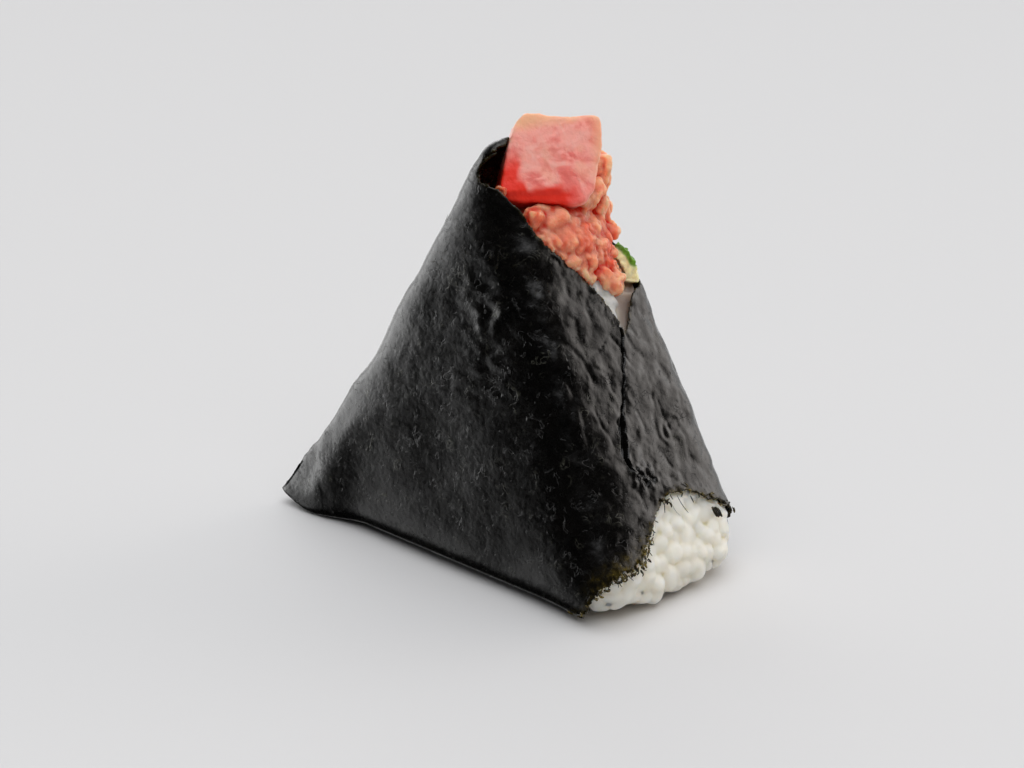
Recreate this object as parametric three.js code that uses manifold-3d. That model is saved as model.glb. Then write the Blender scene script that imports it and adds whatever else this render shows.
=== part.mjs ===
// Onigiri: a triangular rice ball standing on its base, wrapped in one sheet of nori, with minced
// tuna and a block of raw tuna filling the open peak. Millimetres, +Z up, origin on the floor under
// the middle of the ball. -Y is the broad front face, +X the slanted side that carries the seam.

import * as THREE from "three";
import { mergeVertices } from "three/addons/utils/BufferGeometryUtils.js";
import Module from "manifold-3d";

const wasm = await Module();
wasm.setup();

// Driving dimensions of the wrapped ball.
const FOOT_LEFT = -47.9; // where the left slanted side meets the floor at the front, along X
const FOOT_RIGHT = 51.5; // where the right slanted side meets the floor, along X
const FOOT_FRONT = -23.3; // where the front face meets the floor, along Y
const FOOT_BACK = 24.1; // where the back face meets the floor, along Y
const SLOPE_LEFT = 62.6; // degrees from the floor
const SLOPE_RIGHT = 63.8;
const LEAN_FRONT = 7.2; // degrees that the broad faces lean inwards
const LEAN_BACK = 5.6;
const SKEW_LEFT = 15; // degrees that the left side turns towards the back
const EDGE_SHARPNESS = 0.285; // per mm; higher draws the rounded edges tighter
const TIP_SHARPNESS = 1.7; // the same at the folded left tip
const TIP_START = -22; // X where the edges start to tighten towards that tip
const TIP_BACK = 4; // Y where they are no tighter than elsewhere, behind the tip
const CORNER_SHARPNESS = 0.4; // the same at the open right foot corner, where bare rice sits square
const CORNER_START = 26; // X where the edges start to tighten towards that corner
const CORNER_HEIGHT = 16; // and the height that this reaches up to
const PEAK_SHARPNESS = 0.35; // the same along the peak
const PEAK_START = 66; // height where the edges start to tighten towards the peak
const PEAK_HEIGHT = 86;
const TIP_LIFT = 2.6; // how far the tip curls up off the floor
const TIP_LIFT_START = -36; // X where the curl starts
const FLATTENED = 0.35; // depth of the underside that is pressed flat on the floor
const SUNK_BELOW = 4; // height up to which the sheet sinks with it
const HEART = new THREE.Vector3(4.5, 0, 26); // inner point that sees the whole surface

// Shallow dents and swells of the sheet over the grains.
const BROAD_SWELL = 0.4; // how far the broad ones stand out
const BROAD_LENGTH = new THREE.Vector3(6.1, 5.3, 5.7); // their lengths, over 2 pi
const BROAD_SHIFT = new THREE.Vector3(1.3, -0.6, 0.4);
const FINE_SWELL = 0.2;
const FINE_LENGTH = new THREE.Vector3(3.3, 3.1, 3.9);
const SWELL_START = 1; // height above the floor where they start
const SWELL_FULL = 10; // and where they are at their full depth

// Sheet and fit.
const NORI_THICKNESS = 0.6;
const GAP = 0.3; // between pieces that touch
const EDGE_GAP = 0.8; // between the sheet's cut edges and what comes out past them
const RICE_INSET = NORI_THICKNESS + GAP;
const WRAP_DETAIL = 9; // how finely the wrapped surface is split
const BED_DETAIL = 6; // and the bare rice under the loose grains
const SPLIT_SHAPE = new THREE.Vector3(48, 22, 44); // an egg of the ball's size, which evens the split
const SPLIT_ROLL = 60; // degrees about the tip that line the split up with the peak
const FLOOR_ROOM = 200; // side of the room above the floor that everything stays in
const SAME_POINT = 1e-4; // corners this close are one
const CONE_REACH = 2.4; // length of the cones that cut the openings, over the outline's distance
const CRACK_REACH = 1.5; // and of the one that cuts the seam

// Grains and lumps.
const GRAIN = new THREE.Vector3(1.75, 3.2, 1.6); // half width, half length, half height
const GRAIN_SPACING = 3.9;
const GRAIN_BED = 1.6; // depth of the bare rice's bed under the wrapped outline
const GRAIN_DEPTH = 1.9; // and of the loose grains' middles
const GRAIN_CLEAR = 0.5; // least height of a grain's middle over that core's underside
const GRAIN_TILT = 0.9; // radians that a grain may stand off the surface
const GRAIN_SEED = 7;
const LUMP_SPACING = 3.7;
const LUMP_RADIUS = [1.9, 3.4];
const LUMP_DEPTH = 0.6; // of the lumps' middles under the wrapped outline
const HIDDEN_DEPTH = 3.6; // the same behind the block
const LUMP_SMALLER = 1.6; // above 1, most lumps are near the smaller radius
const LUMP_STRETCH = 0.5; // how much they differ in width
const LUMP_FLATNESS = 0.85; // thickness over length
const LUMP_TILT = 1.2;
const LUMP_SEED = 23;
const TRIES = { foot: 6000, notch: 300, mince: 900, hidden: 200 }; // places tried for each heap

// Filling.
const MINCE_CENTRE = new THREE.Vector3(11.5, 1.5, 66);
const MINCE_RADII = new THREE.Vector3(14, 15, 15);
const SHOULDER_CENTRE = new THREE.Vector3(14.6, 7.6, 73); // mince heaped up beside the block
const SHOULDER_RADII = new THREE.Vector3(3.6, 4, 6.4);
const SHOULDER_CORE = 0.8; // share of the way out where the middles of its lumps lie
const HOLLOW_FLOOR = 72; // height of the rice beside the mince, under the open peak
const HOLLOW_ROOM = 120;

const BLOCK_CENTRE = new THREE.Vector3(14.2, 0.9, 83); // middle of the face that looks outwards
const BLOCK_TURN = 52; // degrees from the front towards +X
const BLOCK_TILT = 27; // degrees that the face looks up
const BLOCK_THICKNESS = 9;
const BLOCK_EDGE = 1.2; // size of its softened edges

const ONION_MIDDLE = new THREE.Vector3(21, 13.9, 61.6); // middle of the slice's outer skin
const ONION_RADIUS = 7; // of the leaf that it was cut from
const ONION_WALL = 2.5;
const ONION_ARC = 68; // degrees
const ONION_LEAN = 30; // degrees anticlockwise from level that the middle of the arc lies
const ONION_SLICE = 3;
const ONION_TURN = 44; // degrees from the front towards +X that its cut face looks
const ONION_TILT = 20;

const COLOURS = {
  nori: 0x23251f,
  rice: 0xe3dccb,
  mince: 0xe28a6a,
  tuna: 0xe07f78,
  onion: 0x86a83c,
};

// How the outline is found: along rays from inside, halving the stretch that it lies in.
const RAY_LENGTH = 120;
const RAY_HALVINGS = 36;
const SLOPE_STEP = 0.05; // step that a slope of the outline is taken over

const vec = (x, y, z) => new THREE.Vector3(x, y, z);
const radians = THREE.MathUtils.degToRad;

// ---- The wrapped outline -------------------------------------------------------------------

// A plane as its outward normal and its distance from the origin.
function plane(normal, through) {
  return { normal, distance: normal.dot(through) };
}

const rightSlope = radians(SLOPE_RIGHT);
const leftSlope = radians(SLOPE_LEFT);
const leftSkew = radians(SKEW_LEFT);
const sides = [
  plane(vec(0, -Math.cos(radians(LEAN_FRONT)), Math.sin(radians(LEAN_FRONT))), vec(0, FOOT_FRONT, 0)),
  plane(vec(0, Math.cos(radians(LEAN_BACK)), Math.sin(radians(LEAN_BACK))), vec(0, FOOT_BACK, 0)),
  plane(vec(Math.sin(rightSlope), 0, Math.cos(rightSlope)), vec(FOOT_RIGHT, 0, 0)),
  plane(
    vec(
      -Math.sin(leftSlope) * Math.cos(leftSkew),
      Math.sin(leftSlope) * Math.sin(leftSkew),
      Math.cos(leftSlope),
    ),
    vec(FOOT_LEFT, FOOT_FRONT, 0),
  ),
  plane(vec(0, 0, -1), vec(0, 0, 0)),
];

// How far the sheet stands out over the grains at a point.
function relief(p) {
  const b = p.clone().divide(BROAD_LENGTH).add(BROAD_SHIFT);
  const f = p.clone().divide(FINE_LENGTH);
  const broad = BROAD_SWELL * Math.sin(b.x) * Math.sin(b.y) * Math.sin(b.z);
  const fine = FINE_SWELL * Math.sin(f.x - f.z) * Math.sin(f.y + f.z);
  return (broad + fine) * THREE.MathUtils.smoothstep(p.z, SWELL_START, SWELL_FULL);
}

// Signed distance to the wrapped outline: the smooth maximum of the five sides.
function outside(point) {
  const curl = THREE.MathUtils.smoothstep(-point.x, -TIP_LIFT_START, -FOOT_LEFT);
  const p = vec(point.x, point.y, point.z - TIP_LIFT * curl);
  const atFront = THREE.MathUtils.smoothstep(-p.y, -TIP_BACK, -FOOT_FRONT);
  const towardsTip = atFront * THREE.MathUtils.smoothstep(-p.x, -TIP_START, -FOOT_LEFT);
  const low = 1 - THREE.MathUtils.smoothstep(p.z, 0, CORNER_HEIGHT);
  const towardsCorner = low * THREE.MathUtils.smoothstep(p.x, CORNER_START, FOOT_RIGHT);
  const towardsPeak = THREE.MathUtils.smoothstep(p.z, PEAK_START, PEAK_HEIGHT);
  const sharpness =
    EDGE_SHARPNESS *
    (TIP_SHARPNESS / EDGE_SHARPNESS) ** towardsTip *
    (CORNER_SHARPNESS / EDGE_SHARPNESS) ** towardsCorner *
    (PEAK_SHARPNESS / EDGE_SHARPNESS) ** towardsPeak;
  const values = sides.map((side) => side.normal.dot(p) - side.distance);
  const highest = Math.max(...values);
  const sum = values.reduce((total, value) => total + Math.exp(sharpness * (value - highest)), 0);
  return highest + Math.log(sum) / sharpness - relief(p);
}

// The point where a ray from inside leaves the outline shrunk by an inset. What comes within
// FLATTENED of the floor is pressed flat, as under the ball's weight, and what is just above that
// sinks with it.
function rayToSurface(origin, direction, inset = 0) {
  let near = 0;
  let far = RAY_LENGTH;
  const point = vec(0, 0, 0);
  for (let halving = 0; halving < RAY_HALVINGS; halving += 1) {
    const middle = (near + far) / 2;
    point.copy(origin).addScaledVector(direction, middle);
    if (outside(point) < -inset) near = middle;
    else far = middle;
  }
  const height = point.z - inset;
  const sunk = FLATTENED * (1 - THREE.MathUtils.smoothstep(height, FLATTENED, SUNK_BELOW));
  point.z = inset + Math.max(0, height - sunk);
  return point;
}

function surfaceNormal(point) {
  const slope = ["x", "y", "z"].map((axis) => {
    const ahead = point.clone();
    const behind = point.clone();
    ahead[axis] += SLOPE_STEP;
    behind[axis] -= SLOPE_STEP;
    return outside(ahead) - outside(behind);
  });
  return vec(...slope).normalize();
}

// ---- Solids --------------------------------------------------------------------------------

function solid(geometry) {
  geometry.deleteAttribute("normal");
  geometry.deleteAttribute("uv");
  const merged = mergeVertices(geometry, SAME_POINT);
  return new wasm.Manifold(
    new wasm.Mesh({
      numProp: 3,
      vertProperties: Float32Array.from(merged.attributes.position.array),
      triVerts: Uint32Array.from(merged.index.array),
    }),
  );
}

function joined(solids) {
  return solids.reduce((whole, next) => whole.add(next));
}

// The main piece of a cut solid, without scraps.
function mainPiece(body) {
  return body.decompose().reduce((a, b) => (a.volume() > b.volume() ? a : b));
}

function mesh(name, body, colour, roughness) {
  const result = body.getMesh();
  const geometry = new THREE.BufferGeometry();
  geometry.setAttribute("position", new THREE.BufferAttribute(result.vertProperties, 3));
  geometry.setIndex(new THREE.BufferAttribute(result.triVerts, 1));
  geometry.computeVertexNormals();
  const material = new THREE.MeshStandardMaterial({ color: colour, roughness, metalness: 0 });
  const named = new THREE.Mesh(geometry, material);
  named.name = name;
  return named;
}

// The wrapped outline shrunk by an inset. Every inset splits alike, so the faces stay parallel,
// and one corner of the split lies on the folded tip.
const tipWay = vec(FOOT_LEFT, FOOT_FRONT, TIP_LIFT).sub(HEART).divide(SPLIT_SHAPE).normalize();

function ball(inset, detail = WRAP_DETAIL) {
  const geometry = new THREE.IcosahedronGeometry(1, detail);
  const corner = vec(-1, (1 + Math.sqrt(5)) / 2, 0).normalize();
  const roll = new THREE.Quaternion().setFromAxisAngle(tipWay, radians(SPLIT_ROLL));
  const turn = roll.multiply(new THREE.Quaternion().setFromUnitVectors(corner, tipWay));
  const position = geometry.attributes.position;
  for (let i = 0; i < position.count; i += 1) {
    const direction = vec(0, 0, 0).fromBufferAttribute(position, i).applyQuaternion(turn);
    direction.multiply(SPLIT_SHAPE).normalize();
    position.setXYZ(i, ...rayToSurface(HEART, direction, inset).toArray());
  }
  return solid(geometry);
}

function middleOf(points) {
  return points.reduce((sum, p) => sum.add(p), vec(0, 0, 0)).divideScalar(points.length);
}

// A cone from an inner point through a closed outline on the surface, anticlockwise from outside:
// it cuts the sheet along that outline.
function cone(outline, apex, reach = CONE_REACH) {
  const far = outline.map((p) => p.clone().sub(apex).multiplyScalar(reach).add(apex));
  const cap = middleOf(far);
  const triangles = far.flatMap((p, i) => {
    const next = far[(i + 1) % far.length];
    return [apex, next, p, cap, p, next].flatMap((corner) => corner.toArray());
  });
  const geometry = new THREE.BufferGeometry();
  geometry.setAttribute("position", new THREE.Float32BufferAttribute(triangles, 3));
  return solid(geometry);
}

// The same outline drawn in towards its middle, for what has to stay clear of the cut edge.
function drawnIn(outline, distance) {
  const middle = middleOf(outline);
  return outline.map((p) => p.clone().addScaledVector(middle.clone().sub(p).normalize(), distance));
}

// A loop of smooth stretches that meet in corners.
function loop(stretches, pointsEach) {
  return stretches.flatMap((points, i) => {
    const next = stretches[(i + 1) % stretches.length];
    const curve = new THREE.CatmullRomCurve3([...points, next[0]], false, "centripetal");
    return curve.getPoints(pointsEach[i]).slice(0, -1);
  });
}

// ---- The nori sheet ------------------------------------------------------------------------

// The open peak: the front rim runs down from the standing tip to the notch, the back rim returns.
const PEAK_HEART = vec(6.5, 0.4, 62);
const peakTip = vec(7, -7.2, 86.4);
const peakNotch = vec(26.6, 4.4, 49.9);
const frontRim = [
  peakTip,
  vec(6.4, -10.4, 83.6),
  vec(4.6, -11.8, 81.4),
  vec(4.8, -12.4, 78.8),
  vec(9.3, -11.5, 77.3),
  vec(13.2, -10, 73.8),
  vec(16.7, -8.2, 68.6),
  vec(19.5, -4.2, 64),
  vec(22.6, 0.9, 58),
  vec(25.6, 4, 52),
];
const backRim = [
  peakNotch,
  vec(25.3, 7.6, 51.9),
  vec(23.4, 10, 55.6),
  vec(22.9, 14.1, 56.2),
  vec(20, 17.3, 57.2),
  vec(16.5, 18.4, 59.5),
  vec(11.5, 18.2, 64),
  vec(6.5, 16.5, 70),
  vec(3.2, 12, 76),
  vec(2.6, 5, 80),
  vec(3.6, -1.5, 83.6),
];
const peakOutline = loop([frontRim, backRim], [26, 26]);

// Minced tuna shows in the upper part of the open peak, and rice in the notch below it.
const minceOutline = loop(
  [
    [
      vec(13.5, -7.5, 72.5),
      vec(20, -3, 63.5),
      vec(23.4, 4.5, 57.2),
      vec(20.5, 12.5, 62),
      vec(14, 14.5, 70),
      vec(11, 12, 77),
    ],
  ],
  [24],
);
const behindBlock = [vec(4, -1, 83), vec(10, 14, 77), vec(3, 13, 77), vec(1, 5, 80)];
const notchOutline = loop([[vec(22.4, 2, 58), vec(26.4, 5, 50.6), vec(24, 9, 55)]], [12]);

// The open right foot corner, where the rice shows.
const footOutline = loop(
  [
    [
      vec(42.8, 19.3, 13.2),
      vec(42.4, 11, 17.8),
      vec(41.3, 4, 20.4),
      vec(42, -2, 18.6),
      vec(44, -6.8, 14.2),
      vec(46.2, -10.6, 9.6),
      vec(45.6, -16, 8.8),
      vec(41.9, -20.8, 4.9),
      vec(36, -17.5, 0),
      vec(31, -6, 0),
      vec(32, 10, 0),
      vec(36.5, 21, 3),
      vec(40.5, 22.4, 8.5),
    ],
  ],
  [44],
);

// The two edges of the sheet meet along a crack that slants down the right side and turns
// towards the back just above the open corner.
const seamRoute = new THREE.CatmullRomCurve3(
  [
    vec(26, 4.6, 51.5),
    vec(29, 2, 44.9),
    vec(32.2, -1.5, 38.4),
    vec(35, -4.6, 32.5),
    vec(37.4, -5.4, 27.4),
    vec(39, -2, 24.2),
    vec(41.5, 4, 19.6),
  ],
  false,
  "centripetal",
);
const SEAM_STEPS = 14;
const SEAM_WIDTH = 0.8;
const SEAM_GAPE = 0.9; // how much wider the crack gapes just above its turn
const GAPE_PLACE = 0.55; // share of the way down where it gapes most
const GAPE_REACH = 0.16; // share of the way over which this fades

function seamOutline() {
  const edges = [1, -1].map((side) =>
    seamRoute.getPoints(SEAM_STEPS).map((p, i) => {
      const share = i / SEAM_STEPS;
      const gaping = SEAM_GAPE * Math.exp(-(((share - GAPE_PLACE) / GAPE_REACH) ** 2));
      const along = seamRoute.getTangent(share);
      const across = surfaceNormal(p).cross(along).normalize();
      return p.clone().addScaledVector(across, (side * (SEAM_WIDTH + gaping)) / 2);
    }),
  );
  return [...edges[1], ...edges[0].reverse()];
}

const wrapped = ball(0);
const roomInside = ball(RICE_INSET);

function noriSheet() {
  return wrapped
    .subtract(ball(NORI_THICKNESS))
    .subtract(cone(peakOutline, PEAK_HEART))
    .subtract(cone(footOutline, HEART))
    .subtract(cone(seamOutline(), HEART, CRACK_REACH));
}

// What is inside the sheet, or comes out through an opening clear of its edge.
const openPeak = cone(drawnIn(peakOutline, EDGE_GAP), PEAK_HEART);
const openFoot = cone(drawnIn(footOutline, EDGE_GAP), HEART);

function fitted(body) {
  const room = roomInside.add(openPeak).add(openFoot);
  const aboveFloor = new THREE.BoxGeometry(FLOOR_ROOM, FLOOR_ROOM, FLOOR_ROOM);
  aboveFloor.translate(0, 0, FLOOR_ROOM / 2);
  return body.intersect(room).intersect(solid(aboveFloor));
}

// ---- Scattered grains and lumps ------------------------------------------------------------

function randomFrom(seed) {
  let state = seed;
  return () => {
    state = (state * 1664525 + 1013904223) % 4294967296;
    return state / 4294967296;
  };
}

// Points spread over the part of the surface that shows through an outline.
function spread(outline, apex, inset, spacing, tries, random) {
  const middle = middleOf(outline);
  const chosen = [];
  for (let attempt = 0; attempt < tries; attempt += 1) {
    const i = Math.floor(random() * outline.length);
    const along = outline[i].clone().lerp(outline[(i + 1) % outline.length], random());
    const through = middle.clone().lerp(along, Math.sqrt(random()));
    const direction = through.sub(apex).normalize();
    const point = rayToSurface(apex, direction, inset);
    if (chosen.every((other) => other.distanceTo(point) > spacing)) chosen.push(point);
  }
  return chosen;
}

function ellipsoid(centre, radii, turn, around = 6, along = 4) {
  const geometry = new THREE.SphereGeometry(1, around, along);
  geometry.scale(radii.x, radii.y, radii.z).applyQuaternion(turn);
  return solid(geometry.translate(centre.x, centre.y, centre.z));
}

// A turn that lays a shape's length along the surface at a point, in a random direction.
function layOnSurface(point, random, tilt) {
  const normal = surfaceNormal(point);
  const lay = new THREE.Quaternion().setFromUnitVectors(vec(0, 0, 1), normal);
  const swing = new THREE.Quaternion().setFromAxisAngle(vec(0, 0, 1), random() * 2 * Math.PI);
  const lift = new THREE.Quaternion().setFromAxisAngle(vec(1, 0, 0), (random() - 0.5) * tilt);
  return lay.multiply(swing).multiply(lift);
}

// ---- The rice ------------------------------------------------------------------------------

function riceBall() {
  const random = randomFrom(GRAIN_SEED);
  const packed = ball(RICE_INSET).subtract(cone(footOutline, HEART)).add(ball(GRAIN_BED, BED_DETAIL));
  const places = [
    ...spread(footOutline, HEART, GRAIN_DEPTH, GRAIN_SPACING, TRIES.foot, random),
    ...spread(notchOutline, PEAK_HEART, GRAIN_DEPTH, GRAIN_SPACING, TRIES.notch, random),
  ];
  const grains = places
    .filter((place) => place.z > GRAIN_DEPTH + GRAIN_CLEAR)
    .map((place) => ellipsoid(place, GRAIN, layOnSurface(place, random, GRAIN_TILT)));
  const hollow = new THREE.BoxGeometry(HOLLOW_ROOM, HOLLOW_ROOM, HOLLOW_ROOM);
  hollow.translate(0, 0, HOLLOW_FLOOR + HOLLOW_ROOM / 2);
  return fitted(joined([packed, ...grains])).subtract(solid(hollow));
}

// ---- The filling ---------------------------------------------------------------------------

// Each piece of the filling takes a margin, by which it is swollen to cut its neighbours clear.
function mincedTuna(margin = 0) {
  const random = randomFrom(LUMP_SEED);
  const still = new THREE.Quaternion();
  const swell = (radii) => radii.clone().addScalar(margin);
  const packed = ellipsoid(MINCE_CENTRE, swell(MINCE_RADII), still, 20, 14).intersect(ball(-margin));
  const shoulder = ellipsoid(SHOULDER_CENTRE, swell(SHOULDER_RADII), still, 10, 8);
  const [smallest, largest] = LUMP_RADIUS;
  const places = [
    ...spread(minceOutline, PEAK_HEART, LUMP_DEPTH, LUMP_SPACING, TRIES.mince, random),
    ...spread(behindBlock, PEAK_HEART, HIDDEN_DEPTH, LUMP_SPACING, TRIES.hidden, random),
    ...overShoulder(LUMP_SPACING, random),
  ];
  const lumps = places.map((place) => {
    const radius = smallest + (largest - smallest) * random() ** LUMP_SMALLER;
    const wide = radius * (1 + LUMP_STRETCH * (random() - 0.4));
    const radii = vec(wide, radius, radius * LUMP_FLATNESS);
    return ellipsoid(place, swell(radii), layOnSurface(place, random, LUMP_TILT));
  });
  return joined([packed, shoulder, ...lumps]);
}

// Points spread over the outer half of the shoulder of mince.
function overShoulder(spacing, random) {
  const chosen = [];
  for (let attempt = 0; attempt < TRIES.hidden; attempt += 1) {
    const turn = random() * Math.PI;
    const height = 2 * random() - 1;
    const reach = Math.sqrt(1 - height * height);
    const direction = vec(reach * Math.sin(turn), -reach * Math.cos(turn), height);
    const point = direction.multiply(SHOULDER_RADII).multiplyScalar(SHOULDER_CORE).add(SHOULDER_CENTRE);
    if (chosen.every((other) => other.distanceTo(point) > spacing)) chosen.push(point);
  }
  return chosen;
}

// The turn that points a piece's own Z outwards, at an angle from the front and a tilt upwards.
function facing(turn, tilt) {
  const across = new THREE.Quaternion().setFromAxisAngle(vec(0, 0, 1), radians(turn));
  const upright = new THREE.Quaternion().setFromAxisAngle(vec(1, 0, 0), radians(90 - tilt));
  return across.multiply(upright);
}

function tunaBlock(margin = 0) {
  const face = new THREE.Shape();
  face.moveTo(-12, -6);
  face.quadraticCurveTo(-11.2, -8.4, -8.6, -8.6);
  face.lineTo(-1, -9.2);
  face.quadraticCurveTo(4.2, -10.6, 5.6, -6.8);
  face.lineTo(7.7, 2);
  face.quadraticCurveTo(8, 7.2, 6.8, 7.6);
  face.lineTo(-3, 7.9);
  face.quadraticCurveTo(-6.6, 9.2, -7.6, 6.6);
  face.closePath();
  const geometry = new THREE.ExtrudeGeometry(face, {
    depth: BLOCK_THICKNESS - 2 * BLOCK_EDGE + 2 * margin,
    curveSegments: 3,
    bevelThickness: BLOCK_EDGE,
    bevelSize: BLOCK_EDGE,
    bevelOffset: margin - BLOCK_EDGE,
    bevelSegments: 2,
  });
  geometry.translate(0, 0, BLOCK_EDGE - BLOCK_THICKNESS - margin);
  geometry.applyQuaternion(facing(BLOCK_TURN, BLOCK_TILT));
  return solid(geometry.translate(...BLOCK_CENTRE.toArray()));
}

function onionSlice(margin = 0) {
  const outer = ONION_RADIUS + margin;
  const inner = ONION_RADIUS - ONION_WALL - margin;
  const reach = radians(ONION_ARC / 2) + margin / ONION_RADIUS;
  const middle = radians(ONION_LEAN);
  const sector = new THREE.Shape();
  sector.absarc(0, 0, outer, middle - reach, middle + reach, false);
  sector.absarc(0, 0, inner, middle + reach, middle - reach, true);
  const geometry = new THREE.ExtrudeGeometry(sector, {
    depth: ONION_SLICE + 2 * margin,
    curveSegments: 8,
    bevelEnabled: false,
  });
  const skin = vec(Math.cos(middle), Math.sin(middle), 0).multiplyScalar(ONION_RADIUS);
  geometry.translate(-skin.x, -skin.y, -ONION_SLICE - margin);
  geometry.applyQuaternion(facing(ONION_TURN, ONION_TILT));
  return solid(geometry.translate(...ONION_MIDDLE.toArray()));
}

// ---- The onigiri ---------------------------------------------------------------------------

const block = tunaBlock(GAP);
const onion = onionSlice(GAP);
const rice = riceBall().subtract(mincedTuna(GAP)).subtract(block).subtract(onion);
const mince = fitted(mincedTuna()).subtract(block).subtract(onion);

const onigiri = new THREE.Group();
onigiri.add(mesh("rice_ball", mainPiece(rice), COLOURS.rice, 0.55));
onigiri.add(mesh("nori_wrap", mainPiece(noriSheet()), COLOURS.nori, 0.6));
onigiri.add(mesh("minced_tuna", mainPiece(mince), COLOURS.mince, 0.35));
onigiri.add(mesh("tuna_block", mainPiece(fitted(tunaBlock())), COLOURS.tuna, 0.35));
onigiri.add(mesh("spring_onion", mainPiece(fitted(onionSlice())), COLOURS.onion, 0.4));

export default onigiri;
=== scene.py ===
import math

import bmesh
import bpy
import numpy as np
from bpy.props import FloatProperty, FloatVectorProperty, IntProperty, PointerProperty
from mathutils import Matrix, Vector, kdtree, noise


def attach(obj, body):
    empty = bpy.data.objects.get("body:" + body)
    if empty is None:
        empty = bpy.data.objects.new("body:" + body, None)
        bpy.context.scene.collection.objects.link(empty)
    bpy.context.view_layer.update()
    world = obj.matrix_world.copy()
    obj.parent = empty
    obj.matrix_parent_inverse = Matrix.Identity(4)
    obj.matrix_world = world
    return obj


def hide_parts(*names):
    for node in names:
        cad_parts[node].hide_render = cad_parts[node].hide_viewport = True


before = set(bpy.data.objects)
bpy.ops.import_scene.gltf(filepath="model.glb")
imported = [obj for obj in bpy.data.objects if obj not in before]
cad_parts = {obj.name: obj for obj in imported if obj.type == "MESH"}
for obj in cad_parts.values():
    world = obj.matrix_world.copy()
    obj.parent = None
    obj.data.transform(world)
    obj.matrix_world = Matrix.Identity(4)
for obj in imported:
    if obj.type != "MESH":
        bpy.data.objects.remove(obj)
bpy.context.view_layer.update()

bl_info = {
    "name": "Onigiri",
    "version": (1, 0, 0),
    "blender": (4, 5, 0),
    "location": "3D View > Sidebar > Onigiri",
    "description": "Dresses the packed onigiri: nori, rice, minced tuna, tuna block and spring onion",
    "category": "Mesh",
}

# Everything below is in millimetres until it goes into a mesh. +Z is up, -Y is the broad front
# face and +X the slanted side that carries the seam of the sheet.
MM = 0.001


def points_from(*rows):
    return np.array(rows, float)


def linear(code):
    """A colour as RGBA in linear light, from its sRGB hex value."""
    values = [int(code[i : i + 2], 16) / 255 for i in (1, 3, 5)]
    return (*[v / 12.92 if v <= 0.04045 else ((v + 0.055) / 1.055) ** 2.4 for v in values], 1.0)


# ---- The wrapped outline, as the solids have it ---------------------------------------------

FOOT_LEFT, FOOT_RIGHT, FOOT_FRONT, FOOT_BACK = -47.9, 51.5, -23.3, 24.1
TIP_LIFT = 2.6
HEART = np.array((4.5, 0.0, 26.0))  # inner point that sees the whole surface
PEAK_HEART = np.array((6.5, 0.4, 62.0))  # the same for the open peak
SPLIT_SHAPE = np.array((48.0, 22.0, 44.0))  # an egg of the ball's size, which evens the mesh
EDGE_SHARPNESS = 0.285  # per mm; higher draws the rounded edges tighter
FLATTENED, SUNK_BELOW = 0.35, 4.0  # how far the floor presses the sheet in, and up to what height


def smooth(x, low, high):
    t = np.clip((x - low) / (high - low), 0.0, 1.0)
    return t * t * (3 - 2 * t)


def unit(v):
    return v / np.linalg.norm(v, axis=-1, keepdims=True)


def plane(normal, through):
    normal = np.array(normal)
    return normal, normal @ np.array(through)


def ball_sides():
    front, back, right, left, skew = np.radians((7.2, 5.6, 63.8, 62.6, 15.0))
    return [
        plane((0, -math.cos(front), math.sin(front)), (0, FOOT_FRONT, 0)),
        plane((0, math.cos(back), math.sin(back)), (0, FOOT_BACK, 0)),
        plane((math.sin(right), 0, math.cos(right)), (FOOT_RIGHT, 0, 0)),
        plane(
            (-math.sin(left) * math.cos(skew), math.sin(left) * math.sin(skew), math.cos(left)),
            (FOOT_LEFT, FOOT_FRONT, 0),
        ),
        plane((0, 0, -1), (0, 0, 0)),
    ]


SIDES = ball_sides()


def outside(points):
    """Signed distance to the wrapped outline: the smooth maximum of its five sides."""
    x, y = points[:, 0], points[:, 1]
    z = points[:, 2] - TIP_LIFT * smooth(-x, 36.0, -FOOT_LEFT)
    p = np.stack((x, y, z), -1)
    tip = smooth(-y, -4.0, -FOOT_FRONT) * smooth(-x, 22.0, -FOOT_LEFT)
    corner = (1 - smooth(z, 0.0, 16.0)) * smooth(x, 26.0, FOOT_RIGHT)
    peak = smooth(z, 66.0, 86.0)
    sharpness = (
        EDGE_SHARPNESS
        * (1.7 / EDGE_SHARPNESS) ** tip
        * (0.4 / EDGE_SHARPNESS) ** corner
        * (0.35 / EDGE_SHARPNESS) ** peak
    )
    values = np.stack([p @ normal - distance for normal, distance in SIDES])
    highest = values.max(0)
    total = np.exp(sharpness * (values - highest)).sum(0)
    return highest + np.log(total) / sharpness - swell(x, y, z)


def swell(x, y, z):
    """Shallow dents and swells of the sheet over the grains."""
    broad = 0.4 * np.sin(x / 6.1 + 1.3) * np.sin(y / 5.3 - 0.6) * np.sin(z / 5.7 + 0.4)
    fine = 0.2 * np.sin(x / 3.3 - z / 3.9) * np.sin(y / 3.1 + z / 3.9)
    return (broad + fine) * smooth(z, 1.0, 10.0)


def on_surface(ways, inset=0.0, start=HEART):
    """Where rays from inside leave the outline shrunk by an inset, pressed flat on the floor."""
    near, far = np.zeros(len(ways)), np.full(len(ways), 120.0)
    for _ in range(26):
        middle = (near + far) / 2
        inside = outside(start + ways * middle[:, None]) < -inset
        near, far = np.where(inside, middle, near), np.where(inside, far, middle)
    points = start + ways * far[:, None]
    height = points[:, 2] - np.broadcast_to(inset, len(ways))
    sunk = FLATTENED * (1 - smooth(height, FLATTENED, SUNK_BELOW))
    points[:, 2] += np.maximum(-height, -sunk)
    return points


def surface_normals(points, step=0.05):
    slopes = []
    for axis in np.eye(3) * step:
        slopes.append(outside(points + axis) - outside(points - axis))
    return unit(np.stack(slopes, -1))


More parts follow.
